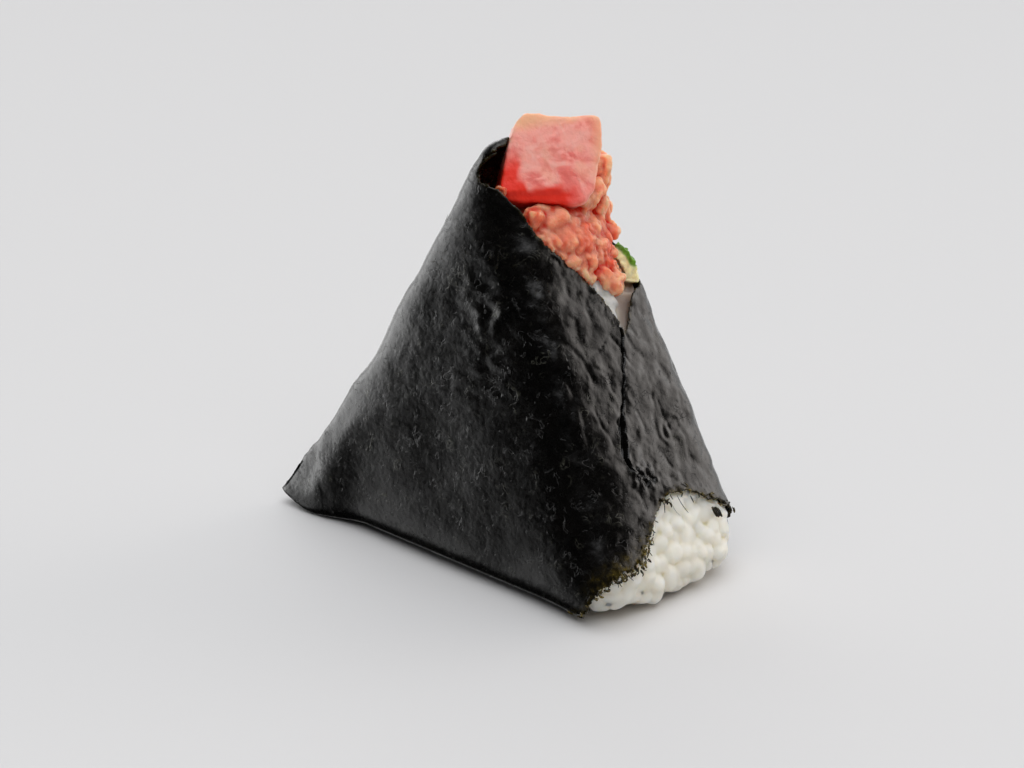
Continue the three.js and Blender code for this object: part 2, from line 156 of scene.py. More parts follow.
def curve(points, closed=False, step=0.3):
    """A smooth line through points, as a row of points a step apart."""
    if closed:
        points = np.vstack((points[-1:], points, points[:2]))
    else:
        first = 2 * points[0] - points[1]
        last = 2 * points[-1] - points[-2]
        points = np.vstack((first, points, last))
    line = []
    for a, b, c, d in zip(points, points[1:], points[2:], points[3:]):
        t = np.arange(0, 1, step / max(np.linalg.norm(c - b), step))[:, None]
        bend = 2 * b + (c - a) * t + (2 * a - 5 * b + 4 * c - d) * t**2
        line.append((bend + (3 * b - a - 3 * c + d) * t**3) / 2)
    if not closed:
        line.append(points[-2:-1])
    return np.vstack(line)


def noise_at(points, size, seed=0, basis="PERLIN_ORIGINAL"):
    """Smooth noise from about -1 to 1 whose blobs are about a size across."""
    shift = Vector((17.3 * seed, -9.1 * seed, 5.7 * seed))
    return np.array([noise.noise(Vector(p) / size + shift, noise_basis=basis) for p in points])


# ---- The openings of the sheet --------------------------------------------------------------

PEAK_FRONT = points_from(
    (7.0, -7.2, 86.4), (6.4, -10.4, 83.6), (4.6, -11.8, 81.4), (4.8, -12.4, 78.8),
    (9.3, -11.5, 77.3), (13.2, -10.0, 73.8), (16.7, -8.2, 68.6), (19.5, -4.2, 64.0),
    (22.6, 0.9, 58.0), (25.6, 4.0, 52.0), (26.6, 4.4, 49.9),
)
PEAK_BACK = points_from(
    (26.6, 4.4, 49.9), (25.3, 7.6, 51.9), (23.4, 10.0, 55.6), (22.9, 14.1, 56.2),
    (20.0, 17.3, 57.2), (16.5, 18.4, 59.5), (11.5, 18.2, 64.0), (6.5, 16.5, 70.0),
    (3.2, 12.0, 76.0), (2.6, 5.0, 80.0), (3.6, -1.5, 83.6), (7.0, -7.2, 86.4),
)
FOOT = points_from(
    (42.8, 19.3, 13.2), (42.4, 11.0, 17.8), (41.3, 4.0, 20.4), (42.0, -2.0, 18.6),
    (44.0, -6.8, 14.6), (46.0, -10.4, 10.8), (45.5, -15.6, 10.4), (44.0, -19.8, 8.9),
    (42.4, -21.6, 4.9), (36.0, -18.5, 0.0), (31.0, -6.0, 0.0), (32.0, 10.0, 0.0), (36.5, 21.0, 3.0),
    (40.5, 22.4, 8.5),
)
SEAM = points_from(
    (26.0, 4.6, 51.5), (29.0, 2.0, 44.9), (32.2, -1.5, 38.4), (35.0, -4.6, 32.5),
    (37.4, -5.4, 27.4), (39.0, -2.0, 24.2), (41.5, 4.0, 19.6),
)


def dropped_on(line, start):
    return on_surface(unit(line - start), 0.0, start)


PEAK_EDGE = dropped_on(np.vstack((curve(PEAK_FRONT), curve(PEAK_BACK))), PEAK_HEART)
FOOT_EDGE = dropped_on(curve(FOOT, closed=True), HEART)
SEAM_LINE = dropped_on(curve(SEAM), HEART)
SEAM_LINE[:, 1] += 0.55 * noise_at(SEAM_LINE, 1.7, 21)


def nearest(points, line):
    """Distance from each point to a line, and which of the line's points is nearest."""
    tree = kdtree.KDTree(len(line))
    for i, place in enumerate(line):
        tree.insert(place, i)
    tree.balance()
    found = [tree.find(p) for p in points]
    return np.array([f[2] for f in found]), np.array([f[1] for f in found])


def within(points, edge, start):
    """Distance to a closed edge on the surface, below zero inside it."""
    axis = unit(edge.mean(0) - start)
    across = unit(np.cross(axis, (0.0, 0.0, 1.0)))
    frame_axes = np.stack((across, np.cross(across, axis), axis))

    def flat(p):
        seen = (p - start) @ frame_axes.T
        return seen[:, :2] / np.maximum(seen[:, 2:], 1e-3), seen[:, 2] > 0

    corners, _ = flat(edge)
    places, ahead = flat(points)
    inside = np.zeros(len(points), bool)
    for a, b in zip(corners, np.roll(corners, -1, 0)):
        if a[1] == b[1]:
            continue
        passes = (a[1] > places[:, 1]) != (b[1] > places[:, 1])
        reach = a[0] + (places[:, 1] - a[1]) * (b[0] - a[0]) / (b[1] - a[1])
        inside ^= passes & (places[:, 0] < reach)
    away, _ = nearest(points, edge)
    return np.where(inside & ahead, -away, away)


# ---- Mesh helpers ---------------------------------------------------------------------------


def select_none():
    if bpy.context.mode != "OBJECT":
        bpy.ops.object.mode_set(mode="OBJECT")
    bpy.ops.object.select_all(action="DESELECT")


def only(obj):
    select_none()
    obj.select_set(True)
    bpy.context.view_layer.objects.active = obj
    return obj


def read_all(items, name, width, kind=np.float32):
    """One property of all points, edges, faces or corners of a mesh, a row for each."""
    flat = np.empty(len(items) * width, kind)
    items.foreach_get(name, flat)
    return flat.reshape(-1, width)


def points_of(obj):
    """A mesh's points in millimetres."""
    return read_all(obj.data.vertices, "co", 3).astype(float) / MM


def normals_of(obj):
    return read_all(obj.data.vertex_normals, "vector", 3).astype(float)


def place_points(obj, points):
    obj.data.vertices.foreach_set("co", (points * MM).astype(np.float32).ravel())
    obj.data.update()


def keep_values(obj, name, values):
    """Keeps one number for each point of a mesh, for its material to read."""
    layer = obj.data.attributes.new(name, "FLOAT", "POINT")
    layer.data.foreach_set("value", np.asarray(values, np.float32))


def raised_over(obj, rounds, depth):
    """How far each point stands over its surroundings: 0 in the creases, 1 on the tops."""
    points = points_of(obj)
    first, second = read_all(obj.data.edges, "vertices", 2, np.int32).T
    here, there = np.concatenate((first, second)), np.concatenate((second, first))
    count = np.bincount(here, minlength=len(points))
    even = points
    for _ in range(rounds):
        sums = [np.bincount(here, even[there, axis], len(points)) for axis in range(3)]
        even = np.stack(sums, -1) / count[:, None]
    over = ((points - even) * normals_of(obj)).sum(-1)
    return np.clip(0.5 + over / depth, 0, 1)


def add_ball(detail):
    """An even ball of radius one."""
    select_none()
    bpy.ops.mesh.primitive_ico_sphere_add(subdivisions=detail, radius=1.0)
    return bpy.context.object


def applied(obj, kind, **settings):
    """Adds a modifier with its settings and applies it."""
    only(obj)
    modifier = obj.modifiers.new(kind.title(), kind)
    for name, value in settings.items():
        setattr(modifier, name, value)
    bpy.ops.object.modifier_apply(modifier=modifier.name)
    return obj


def pick(obj, chosen, what="verts"):
    """Opens a mesh in edit mode with only these points or faces selected."""
    only(obj)
    bpy.ops.object.mode_set(mode="EDIT")
    bpy.ops.mesh.select_mode(type="VERT" if what == "verts" else "FACE")
    bpy.ops.mesh.select_all(action="DESELECT")
    shape = bmesh.from_edit_mesh(obj.data)
    parts = getattr(shape, what)
    parts.ensure_lookup_table()
    for i in np.flatnonzero(chosen):
        parts[i].select = True
    shape.select_flush_mode()
    bmesh.update_edit_mesh(obj.data)


def joined(objects):
    only(objects[0])
    for obj in objects[1:]:
        obj.select_set(True)
    bpy.ops.object.join()
    return bpy.context.view_layer.objects.active


def largest_island(obj):
    """Leaves out the loose scraps of a mesh."""
    only(obj)
    bpy.ops.mesh.separate(type="LOOSE")
    islands = sorted(bpy.context.selected_objects, key=lambda o: len(o.data.vertices))
    for scrap in islands[:-1]:
        bpy.data.objects.remove(scrap)
    return only(islands[-1])


def finished(obj, name, material, replaced=()):
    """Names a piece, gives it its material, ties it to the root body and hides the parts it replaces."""
    obj.name = obj.data.name = name
    obj.data.materials.clear()
    obj.data.materials.append(material)
    only(obj)
    bpy.ops.object.shade_smooth()
    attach(obj, "root")
    if replaced:
        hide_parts(*replaced)
    return obj


# ---- Materials ------------------------------------------------------------------------------


def node(tree, kind, inputs=(), stops=(), **settings):
    """Adds one node with its settings. An input is a value, or the socket or node that feeds it:
    a node does so by its first output in use."""
    made = tree.nodes.new("ShaderNode" + kind)
    for name, value in settings.items():
        setattr(made, name, value)
    for name, value in dict(inputs).items():
        if isinstance(value, bpy.types.Node):
            value = next(socket for socket in value.outputs if socket.enabled)
        if isinstance(value, bpy.types.NodeSocket):
            tree.links.new(value, made.inputs[name])
        else:
            made.inputs[name].default_value = value
    for i, (place, colour) in enumerate(stops):
        elements = made.color_ramp.elements
        stop = elements[i] if i < len(elements) else elements.new(place)
        stop.position, stop.color = place, colour
    return made


def shades(colour, *stops):
    """Stops of a ramp, each given as its place and the share of the colour's light there."""
    return [(place, (*[min(share * part, 1.0) for part in colour[:3]], 1.0)) for place, share in stops]


def new_material(name, *kept):
    """An empty material, its nodes, Object coordinates in millimetres, so that a pattern's scale is
    one over the real size of its blobs, and the values that the mesh keeps under these names."""
    material = bpy.data.materials.new(name)
    material.use_nodes = True
    tree = material.node_tree
    tree.nodes.clear()
    where = node(tree, "TexCoord").outputs["Object"]
    mm = node(tree, "VectorMath", {0: where, "Scale": 1 / MM}, operation="SCALE")
    values = [node(tree, "Attribute", attribute_name=value).outputs["Fac"] for value in kept]
    return material, tree, mm, *values


def surfaced(material, sockets):
    """Gives a material its surface, from the value or node of each of the shader's sockets."""
    surface = node(material.node_tree, "BsdfPrincipled", sockets)
    node(material.node_tree, "OutputMaterial", {"Surface": surface})
    return material


def toasted_nori(colours):
    """Toasted nori: dried laver, pressed thin on a mat and roasted. Near black, with a satin
    sheen, pin holes, the threads of the seaweed and olive where it wears thin."""
    material, tree, mm, frayed = new_material("toasted_nori", "frayed")
    # Blotches of about 6 mm, where the sheet is thicker or thinner.
    mottle = node(tree, "TexNoise", {"Vector": mm, "Scale": 0.16, "Detail": 6.0, "Roughness": 0.62})
    mottled = shades(colours.nori, (0.36, 0.5), (0.55, 1.0), (0.74, 1.8))
    sheet = node(tree, "ValToRGB", {"Fac": mottle}, stops=mottled)
    # Threads of the seaweed are thin level lines of a warped noise, a tenth or two of a millimetre
    # wide, in clusters of about 4 mm. Fine cracks of the dry sheet are other level lines of it.
    warp = node(tree, "TexNoise", {"Vector": mm, "Scale": 0.42, "Detail": 2.5, "Distortion": 1.2})
    lines = []
    for level in (0.5, 0.6):
        off = node(tree, "Math", {0: warp, 1: level}, operation="SUBTRACT")
        away = node(tree, "Math", {0: off}, operation="ABSOLUTE")
        lines.append(node(tree, "MapRange", {"Value": away, "From Min": 0.03, "From Max": 0.008}))
    clusters = node(tree, "TexNoise", {"Vector": mm, "Scale": 0.23, "Detail": 3.0})
    some = node(tree, "MapRange", {"Value": clusters, "From Min": 0.56, "From Max": 0.8})
    threads = node(tree, "Math", {0: lines[0], 1: some}, operation="MULTIPLY")
    lighter = node(tree, "Mix", {0: threads, 6: sheet, 7: colours.nori_threads}, data_type="RGBA")
    # Where the sheet wears thin at the open corner the light comes through it olive and brown.
    patches = node(tree, "TexNoise", {"Vector": mm, "Scale": 0.75, "Detail": 4.0, "Roughness": 0.7})
    worn = shades(colours.nori_worn, (0.38, 0.05), (0.48, 0.16), (0.58, 0.45), (0.7, 1.3))
    thin = node(tree, "ValToRGB", {"Fac": patches}, stops=worn)
    colour = node(tree, "Mix", {0: frayed, 6: lighter, 7: thin}, data_type="RGBA")

    # Slits and pin holes, half a millimetre wide and up to one long, which neither shine nor lie
    # flat, where there are few threads.
    upright = node(
        tree, "Mapping", {"Vector": mm, "Rotation": (0.1, 0.5, 0.2), "Scale": (1.0, 1.0, 0.45)}
    )
    holes = node(tree, "TexVoronoi", {"Vector": upright, "Scale": 0.45})
    hole = node(tree, "MapRange", {"Value": holes, "From Min": 0.13, "From Max": 0.05})
    bare = node(tree, "MapRange", {"Value": clusters, "From Min": 0.5, "From Max": 0.42})
    marks = node(tree, "Math", {0: lines[1], 1: 0.4, 2: hole}, operation="MULTIPLY_ADD")
    pit = node(tree, "Math", {0: marks, 1: bare}, operation="MULTIPLY")
    grit = node(tree, "TexNoise", {"Vector": mm, "Scale": 1.0, "Detail": 3.0, "Roughness": 0.5})
    gloss = node(
        tree, "MapRange",
        {"Value": grit, "From Min": 0.32, "From Max": 0.68, "To Min": 0.2, "To Max": 0.32},
    )
    dulled = node(tree, "Math", {0: pit, 1: 0.25, 2: gloss}, operation="MULTIPLY_ADD")
    rise = node(tree, "Math", {0: grit, 1: 0.3}, operation="MULTIPLY")
    sunk = node(tree, "Math", {0: pit, 1: -0.4, 2: rise}, operation="MULTIPLY_ADD")
    height = node(tree, "Math", {0: threads, 1: 0.2, 2: sunk}, operation="MULTIPLY_ADD")
    bump = node(tree, "Bump", {"Height": height, "Strength": 1.0, "Distance": 0.2 * MM})
    return surfaced(material, {
        "Base Color": colour, "Roughness": dulled, "IOR": 1.47, "Specular IOR Level": 0.48,
        "Normal": bump,
    })


def steamed_rice(colours):
    """Steamed short-grain rice: moist, milky and a little see-through, warm white on the grains,
    with painted shade in faint yellow-green between them and painted shade tinged pink by the filling."""
    material, tree, mm, raised, stained = new_material("steamed_rice", "raised", "stained")
    # Cloudy over a grain's width, with a finer starchy skin.
    cloudy = node(tree, "TexNoise", {"Vector": mm, "Scale": 0.3, "Detail": 3.0})
    # Painted shade: points low between the grains take the darker yellow-green crease colour and the
    # tops the full warm white.
    mixed = node(tree, "Math", {0: cloudy, 1: 0.5, 2: raised}, operation="MULTIPLY_ADD")
    grains = [(0.34, colours.rice_crease_shade), *shades(colours.rice, (0.62, 0.94), (1.0, 1.0))]
    clean = node(tree, "ValToRGB", {"Fac": mixed}, stops=grains)
    # Painted shade, tinged pink as by light off the filling, is mixed in up high by the notch.
    colour = node(tree, "Mix", {0: stained, 6: clean, 7: colours.rice_notch_shade}, data_type="RGBA")
    fine = node(tree, "TexNoise", {"Vector": mm, "Scale": 0.9, "Detail": 3.0})
    bump = node(tree, "Bump", {"Height": fine, "Strength": 0.6, "Distance": 0.16 * MM})
    return surfaced(material, {
        "Base Color": colour, "Roughness": 0.42, "IOR": 1.42, "Normal": bump,
        "Subsurface Weight": 0.9, "Subsurface Radius": (1.0, 0.86, 0.68), "Subsurface Scale": 10 * MM,
    })


def minced_tuna_flesh(colours):
    """Minced fatty tuna: chopped raw and worked to a sticky heap. Salmon pink, peach where it is
    fatty or thin, with a wet shine; the red in the cracks is painted shade and the lighter tops painted
    light."""
    material, tree, mm, raised, fatty = new_material("minced_tuna", "raised", "fatty")
    # Lean and fat are mixed over 2.5 mm, the width of a crumb, and chopped down to one.
    cloudy = node(tree, "TexNoise", {"Vector": mm, "Scale": 0.4, "Detail": 4.0})
    # Painted shade and light: creases between the crumbs take the red crack colour, the tops lighter
    # tones.
    mixed = node(tree, "Math", {0: cloudy, 1: 0.35, 2: raised}, operation="MULTIPLY_ADD")
    lean = node(tree, "ValToRGB", {"Fac": mixed}, stops=[
        (0.4, colours.mince_crack_shade), *shades(colours.mince_lean, (0.62, 0.86), (0.85, 1.05), (1.0, 1.3)),
    ])
    fat = node(tree, "ValToRGB", {"Fac": mixed}, stops=[
        (0.36, colours.mince_crack_shade), *shades(colours.mince_fat, (0.56, 0.7), (0.8, 1.0), (1.0, 1.25)),
    ])
    colour = node(tree, "Mix", {0: fatty, 6: lean, 7: fat}, data_type="RGBA")
    fine = node(tree, "TexNoise", {"Vector": mm, "Scale": 1.1, "Detail": 3.0})
    bump = node(tree, "Bump", {"Height": fine, "Strength": 1.0, "Distance": 0.4 * MM})
    return surfaced(material, {
        "Base Color": colour, "Roughness": 0.3, "IOR": 1.4, "Normal": bump,
        "Subsurface Weight": 0.9, "Subsurface Radius": (1.0, 0.45, 0.3), "Subsurface Scale": 7 * MM,
    })


def raw_tuna_flesh(colours):
    """Raw tuna, cut with a knife: smooth pink muscle whose grain shows as faint streaks, with
    painted shade in deep red low down, and peach at the fatty edges."""
    material, tree, mm, fatty, deep = new_material("raw_tuna", "fatty", "deep")
    # The grain's streaks are 10 mm long and 3 to 4 mm wide, and lie aslant.
    turned = node(
        tree, "Mapping", {"Vector": mm, "Rotation": (0.3, 0.9, 0.5), "Scale": (0.1, 0.3, 0.25)}
    )
    grain = node(
        tree, "TexNoise", {"Vector": turned, "Scale": 1.0, "Detail": 5.0, "Distortion": 0.6}
    )
    streaks = [(0.36, colours.block_streaks), *shades(colours.block, (0.5, 1.06), (0.64, 1.22))]
    muscle = node(tree, "ValToRGB", {"Fac": grain}, stops=streaks)
    with_fat = node(tree, "Mix", {0: fatty, 6: muscle, 7: colours.block_fat}, data_type="RGBA")
    # Painted shade: the lower edge and the lower left side are mixed towards a deep red.
    colour = node(tree, "Mix", {0: deep, 6: with_fat, 7: colours.block_shade_red}, data_type="RGBA")
    fine = node(tree, "TexNoise", {"Vector": mm, "Scale": 1.2, "Detail": 4.0})
    both = node(tree, "Math", {0: grain, 1: 0.8, 2: fine}, operation="MULTIPLY_ADD")
    # Small gaps that the knife opens between the flakes of muscle, each about 1 by 3 mm.
    flakes = node(tree, "TexVoronoi", {"Vector": turned, "Scale": 3.0})
    gap = node(
        tree, "MapRange",
        {"Value": flakes, "From Min": 0.05, "From Max": 0.2, "To Min": -0.2, "To Max": 0.0},
    )
    height = node(tree, "Math", {0: both, 1: gap}, operation="ADD")
    bump = node(tree, "Bump", {"Height": height, "Strength": 0.8, "Distance": 0.2 * MM})
    return surfaced(material, {
        "Base Color": colour, "Roughness": 0.36, "IOR": 1.4, "Normal": bump,
        "Subsurface Weight": 0.5, "Subsurface Radius": (1.0, 0.35, 0.25), "Subsurface Scale": 1.8 * MM,
    })


def cut_spring_onion(colours):
    """Spring onion, cut raw: waxy leaf-green skin over pale, wet, yellowish flesh."""
    material, tree, mm, skin = new_material("spring_onion", "skin")
    cloudy = node(tree, "TexNoise", {"Vector": mm, "Scale": 1.0, "Detail": 3.0})
    pale = shades(colours.onion_flesh, (0.35, 0.8), (0.65, 1.1))
    flesh = node(tree, "ValToRGB", {"Fac": cloudy}, stops=pale)
    leafy = shades(colours.onion_skin, (0.35, 0.6), (0.65, 1.4))
    green = node(tree, "ValToRGB", {"Fac": cloudy}, stops=leafy)
    colour = node(tree, "Mix", {0: skin, 6: flesh, 7: green}, data_type="RGBA")
    bump = node(tree, "Bump", {"Height": cloudy, "Strength": 0.5, "Distance": 0.2 * MM})
    return surfaced(material, {
        "Base Color": colour, "Roughness": 0.4, "Normal": bump,
        "Subsurface Weight": 0.4, "Subsurface Radius": (0.8, 1.0, 0.4), "Subsurface Scale": 1.0 * MM,
    })


# ---- What a user may change -----------------------------------------------------------------


def length_of(name, description, default, low, high):
    """A length that the user may change, given in millimetres."""
    return FloatProperty(
        name=name, description=description, default=default * MM, min=low * MM, max=high * MM,
        precision=5, unit="LENGTH",
    )


class OnigiriSizes(bpy.types.PropertyGroup):
    """Sizes of the onigiri's pieces"""

    sheet_thickness: length_of("Sheet thickness", "Thickness of the nori sheet", 0.35, 0.2, 0.55)
    tear_depth: length_of("Tear depth", "How far the torn edges of the sheet wander", 0.6, 0, 1.5)
    grain_length: length_of("Grain length", "Length of a cooked grain of rice", 5, 4, 8)
    grain_width: length_of("Grain width", "Width of a cooked grain of rice", 3.3, 2, 4)
    block_thickness: length_of("Block thickness", "Thickness of the block of raw tuna", 9, 5, 12)
    seed: IntProperty(
        name="Seed", description="Seed of the scattered grains and lumps", default=7, min=0
    )


def colour_of(name, description, code):
    """A colour that the user may change, given as its sRGB hex value."""
    return FloatVectorProperty(
        name=name, description=description, default=linear(code), size=4, min=0.0, max=1.0,
        subtype="COLOR",
    )


class OnigiriColours(bpy.types.PropertyGroup):
    """Colours of the onigiri's pieces and of the floor under it"""

    nori: colour_of("Nori", "Body colour of the toasted sheet", "#080706")
    nori_threads: colour_of("Nori threads", "Threads of seaweed that show on the sheet", "#4c4c42")
    nori_worn: colour_of("Worn nori", "The sheet where it wears thin", "#7d6c2c")
    rice: colour_of("Rice", "Top of the cooked grains", "#f8eedd")
    # Painted shade between the grains.
    rice_crease_shade: colour_of("Rice creases", "Between the grains", "#cbc38e")
    # Painted shade: rice in shadow by the filling, tinged pink by light off the tuna.
    rice_notch_shade: colour_of("Shaded rice", "Rice shaded by the filling", "#9c877c")
    mince_lean: colour_of("Lean mince", "Lean lumps of the minced tuna", "#dd4b33")
    mince_fat: colour_of("Fatty mince", "Fatty lumps of the minced tuna", "#f9a784")
    # Painted shade in the cracks between the lumps.
    mince_crack_shade: colour_of("Mince cracks", "Between the lumps of minced tuna", "#d22c14")
    block: colour_of("Tuna block", "Cut face of the block", "#f9a497")
    block_streaks: colour_of("Block streaks", "Redder streaks of the cut face", "#ee7c72")
    block_fat: colour_of("Block fat", "Fatty edges of the block", "#f9bd96")
    # Painted shade: the deep red of the block's lower edge and left side.
    block_shade_red: colour_of("Block red", "Lean red underside of the block", "#f03826")
    onion_skin: colour_of("Onion skin", "Green skin of the spring onion", "#5f8a24")
    onion_flesh: colour_of("Onion flesh", "Pale flesh of the spring onion", "#f4ebb8")
    floor: colour_of("Floor", "Matt floor of the stage", "#d6d6d6")


# ---- The stage ------------------------------------------------------------------------------

CAMERA_TARGET = np.array((0.475, 0.933, 32.978))
CAMERA_DISTANCE = 417.753
CAMERA_TURN, CAMERA_RISE = 44.004, 20.168  # degrees round from the front, and above the floor
CAMERA_LENS = 71.97
FLOOR_RADIUS, FLOOR_DROP = 12000.0, 0.15  # the floor lies a hair under what stands on it
LAMPS_AIM = Vector((0.0, 0.0, 40.0)) * MM


def direction(turn, rise):
    """The way from the object to a place round it, in degrees from the front and the floor."""
    turn, rise = math.radians(turn), math.radians(rise)
    return Vector(
        (math.sin(turn) * math.cos(rise), -math.cos(turn) * math.cos(rise), math.sin(rise))
    )


WHITE = (1.0, 1.0, 1.0)
# The soft walls of the studio: the way to each, the angles from it within which it is full and
# beyond which it is gone, how bright it is, and its tint.
STUDIO_WALLS = (
    (40, 80, 25, 43, 2.1, (1.0, 1.0, 1.02)),
    (288, -2, 11, 23, 2.9, WHITE),
    (250, 6, 15, 45, 1.2, WHITE),
    (205, 6, 25, 60, 0.9, WHITE),
    (151, 13, 11, 30, 1.95, (1.07, 1.0, 0.95)),
    (300, -24, 10, 22, 0.8, WHITE),
)


def studio_surroundings():
    """Soft pale walls for light and reflections, nearly black where the room opens between them."""
    world = bpy.data.worlds.new("studio")
    bpy.context.scene.world = world
    world.use_nodes = True
    tree = world.node_tree
    tree.nodes.clear()
    where = node(tree, "TexCoord").outputs["Generated"]
    total = (0.008, 0.008, 0.008)
    for turn, rise, full, gone, bright, tint in STUDIO_WALLS:
        facing = node(
            tree, "VectorMath", {0: where, 1: direction(turn, rise)}, operation="DOT_PRODUCT"
        )
        edge, middle = math.cos(math.radians(gone)), math.cos(math.radians(full))
        patch = node(
            tree, "MapRange",
            {"Value": facing, "From Min": edge, "From Max": middle, "To Max": bright},
            interpolation_type="SMOOTHSTEP",
        )
        total = node(tree, "VectorMath", {0: patch, 1: tint, 2: total}, operation="MULTIPLY_ADD")
    light = node(tree, "Background", {"Strength": 1.0, "Color": total})
    seen = node(tree, "Background", {"Strength": 1.0, "Color": linear("#dcdcdc")})
    by_eye = node(tree, "LightPath").outputs["Is Camera Ray"]
    both = node(tree, "MixShader", {0: by_eye, 1: light, 2: seen})
    node(tree, "OutputWorld", {"Surface": both})


def add_softbox(name, turn, rise, distance, side, watts, mirrored=True):
    """A square softbox that looks at the middle of the object, seen in glossy things if mirrored.
    Its distance and side are in metres."""
    way = direction(turn, rise)
    bpy.ops.object.light_add(
        type="AREA",
        location=LAMPS_AIM + way * distance,
        rotation=way.to_track_quat("Z", "Y").to_euler(),
    )
    lamp = bpy.context.object
    lamp.name = lamp.data.name = name
    lamp.data.size = side
    lamp.data.energy = watts
    lamp.visible_camera = False
    lamp.visible_glossy = mirrored


class ONIGIRI_OT_stage(bpy.types.Operator):
    """Add the camera, the pale floor and the soft lights"""

    bl_idname = "onigiri.stage"
    bl_label = "Stage"

    def execute(self, context):
        select_none()
        back = direction(CAMERA_TURN, CAMERA_RISE)
        bpy.ops.object.camera_add(
            location=Vector(CAMERA_TARGET * MM) + back * CAMERA_DISTANCE * MM,
            rotation=back.to_track_quat("Z", "Y").to_euler(),
        )
        camera = context.object
        camera.data.lens = CAMERA_LENS
        camera.data.clip_start, camera.data.clip_end = 0.02, 50.0
        context.scene.camera = camera
        context.scene.view_settings.view_transform = "Standard"

        select_none()
        bpy.ops.mesh.primitive_circle_add(
            vertices=128, radius=FLOOR_RADIUS * MM, fill_type="NGON", location=(0, 0, -FLOOR_DROP * MM)
        )
        floor = context.object
        floor.name = "floor"
        # Matt white paper, pressed without a coating, hardly shines at all.
        paper, _, _ = new_material("matt_white_paper")
        surfaced(paper, {
            "Base Color": context.scene.onigiri_colours.floor, "Roughness": 0.9,
            "Specular IOR Level": 0.2,
        })
        floor.data.materials.append(paper)
        # Glossy things mirror the studio walls in place of the floor, as over a narrow table.
        floor.visible_glossy = False

        studio_surroundings()
        add_softbox("softbox_over", turn=190, rise=66, distance=1.6, side=0.9, watts=0.5)
        add_softbox(
            "softbox_front", turn=66, rise=50, distance=1.6, side=1.1, watts=4.7, mirrored=False
        )
        return {"FINISHED"}


# ---- The nori sheet -------------------------------------------------------------------------

WORN_PLACE = np.array((45.6, -13.5, 9.0))  # where the sheet is rubbed thin at the open corner
WORN_REACH = np.array((7.0, 6.0, 6.5))
WRAP_DETAIL, RICE_DETAIL = 7, 6  # how many times the first ball of each is split
RICE_INSET = 0.9  # depth of the rice under the wrapped outline
RINGS_MIDDLE = (35.8, 9.0, 31.2)  # where the sheet was pressed beside the seam
DRAWN_X, DRAWN_Z = 13.0, 55.0  # where it was drawn round the edge below the front rim
STRIP_WIDTH = 8.5  # of the flat strip along the left edge
SEAM_TURN = (38.6, -2.6, 24.8)  # where it is crumpled at the turn of the seam


def egg_ways(obj, roll=60.0):
    """The ways in which a ball's points lie, with a corner of the ball on the folded tip."""
    tip = Vector((FOOT_LEFT, FOOT_FRONT, TIP_LIFT)) - Vector(HEART)
    tip = Vector(np.array(tip) / SPLIT_SHAPE).normalized()
    turn = Matrix.Rotation(math.radians(roll), 3, tip) @ tip.to_track_quat("Z", "Y").to_matrix()
    return unit(unit(points_of(obj)) @ np.array(turn).T * SPLIT_SHAPE)


def seam_place(points):
    """Share of the way down the seam, distance from it, and signed distance across it."""
    away, which = nearest(points, SEAM_LINE)
    along = unit(np.gradient(SEAM_LINE, axis=0))[which]
    across = unit(np.cross(surface_normals(points), along))
    side = ((points - SEAM_LINE[which]) * across).sum(-1)
    return which / (len(SEAM_LINE) - 1), away, side


def grain_bumps(points, cell=3.9, seed=3):
    """Rounded bumps where grains press through the sheet, from 0 in the dips to 1 on top."""
    shift = Vector((seed, -seed, 2.0 * seed))
    away = np.array([noise.voronoi(Vector(p) / cell + shift)[0][0] for p in points])
    return 1 - smooth(away, 0.05, 0.75)


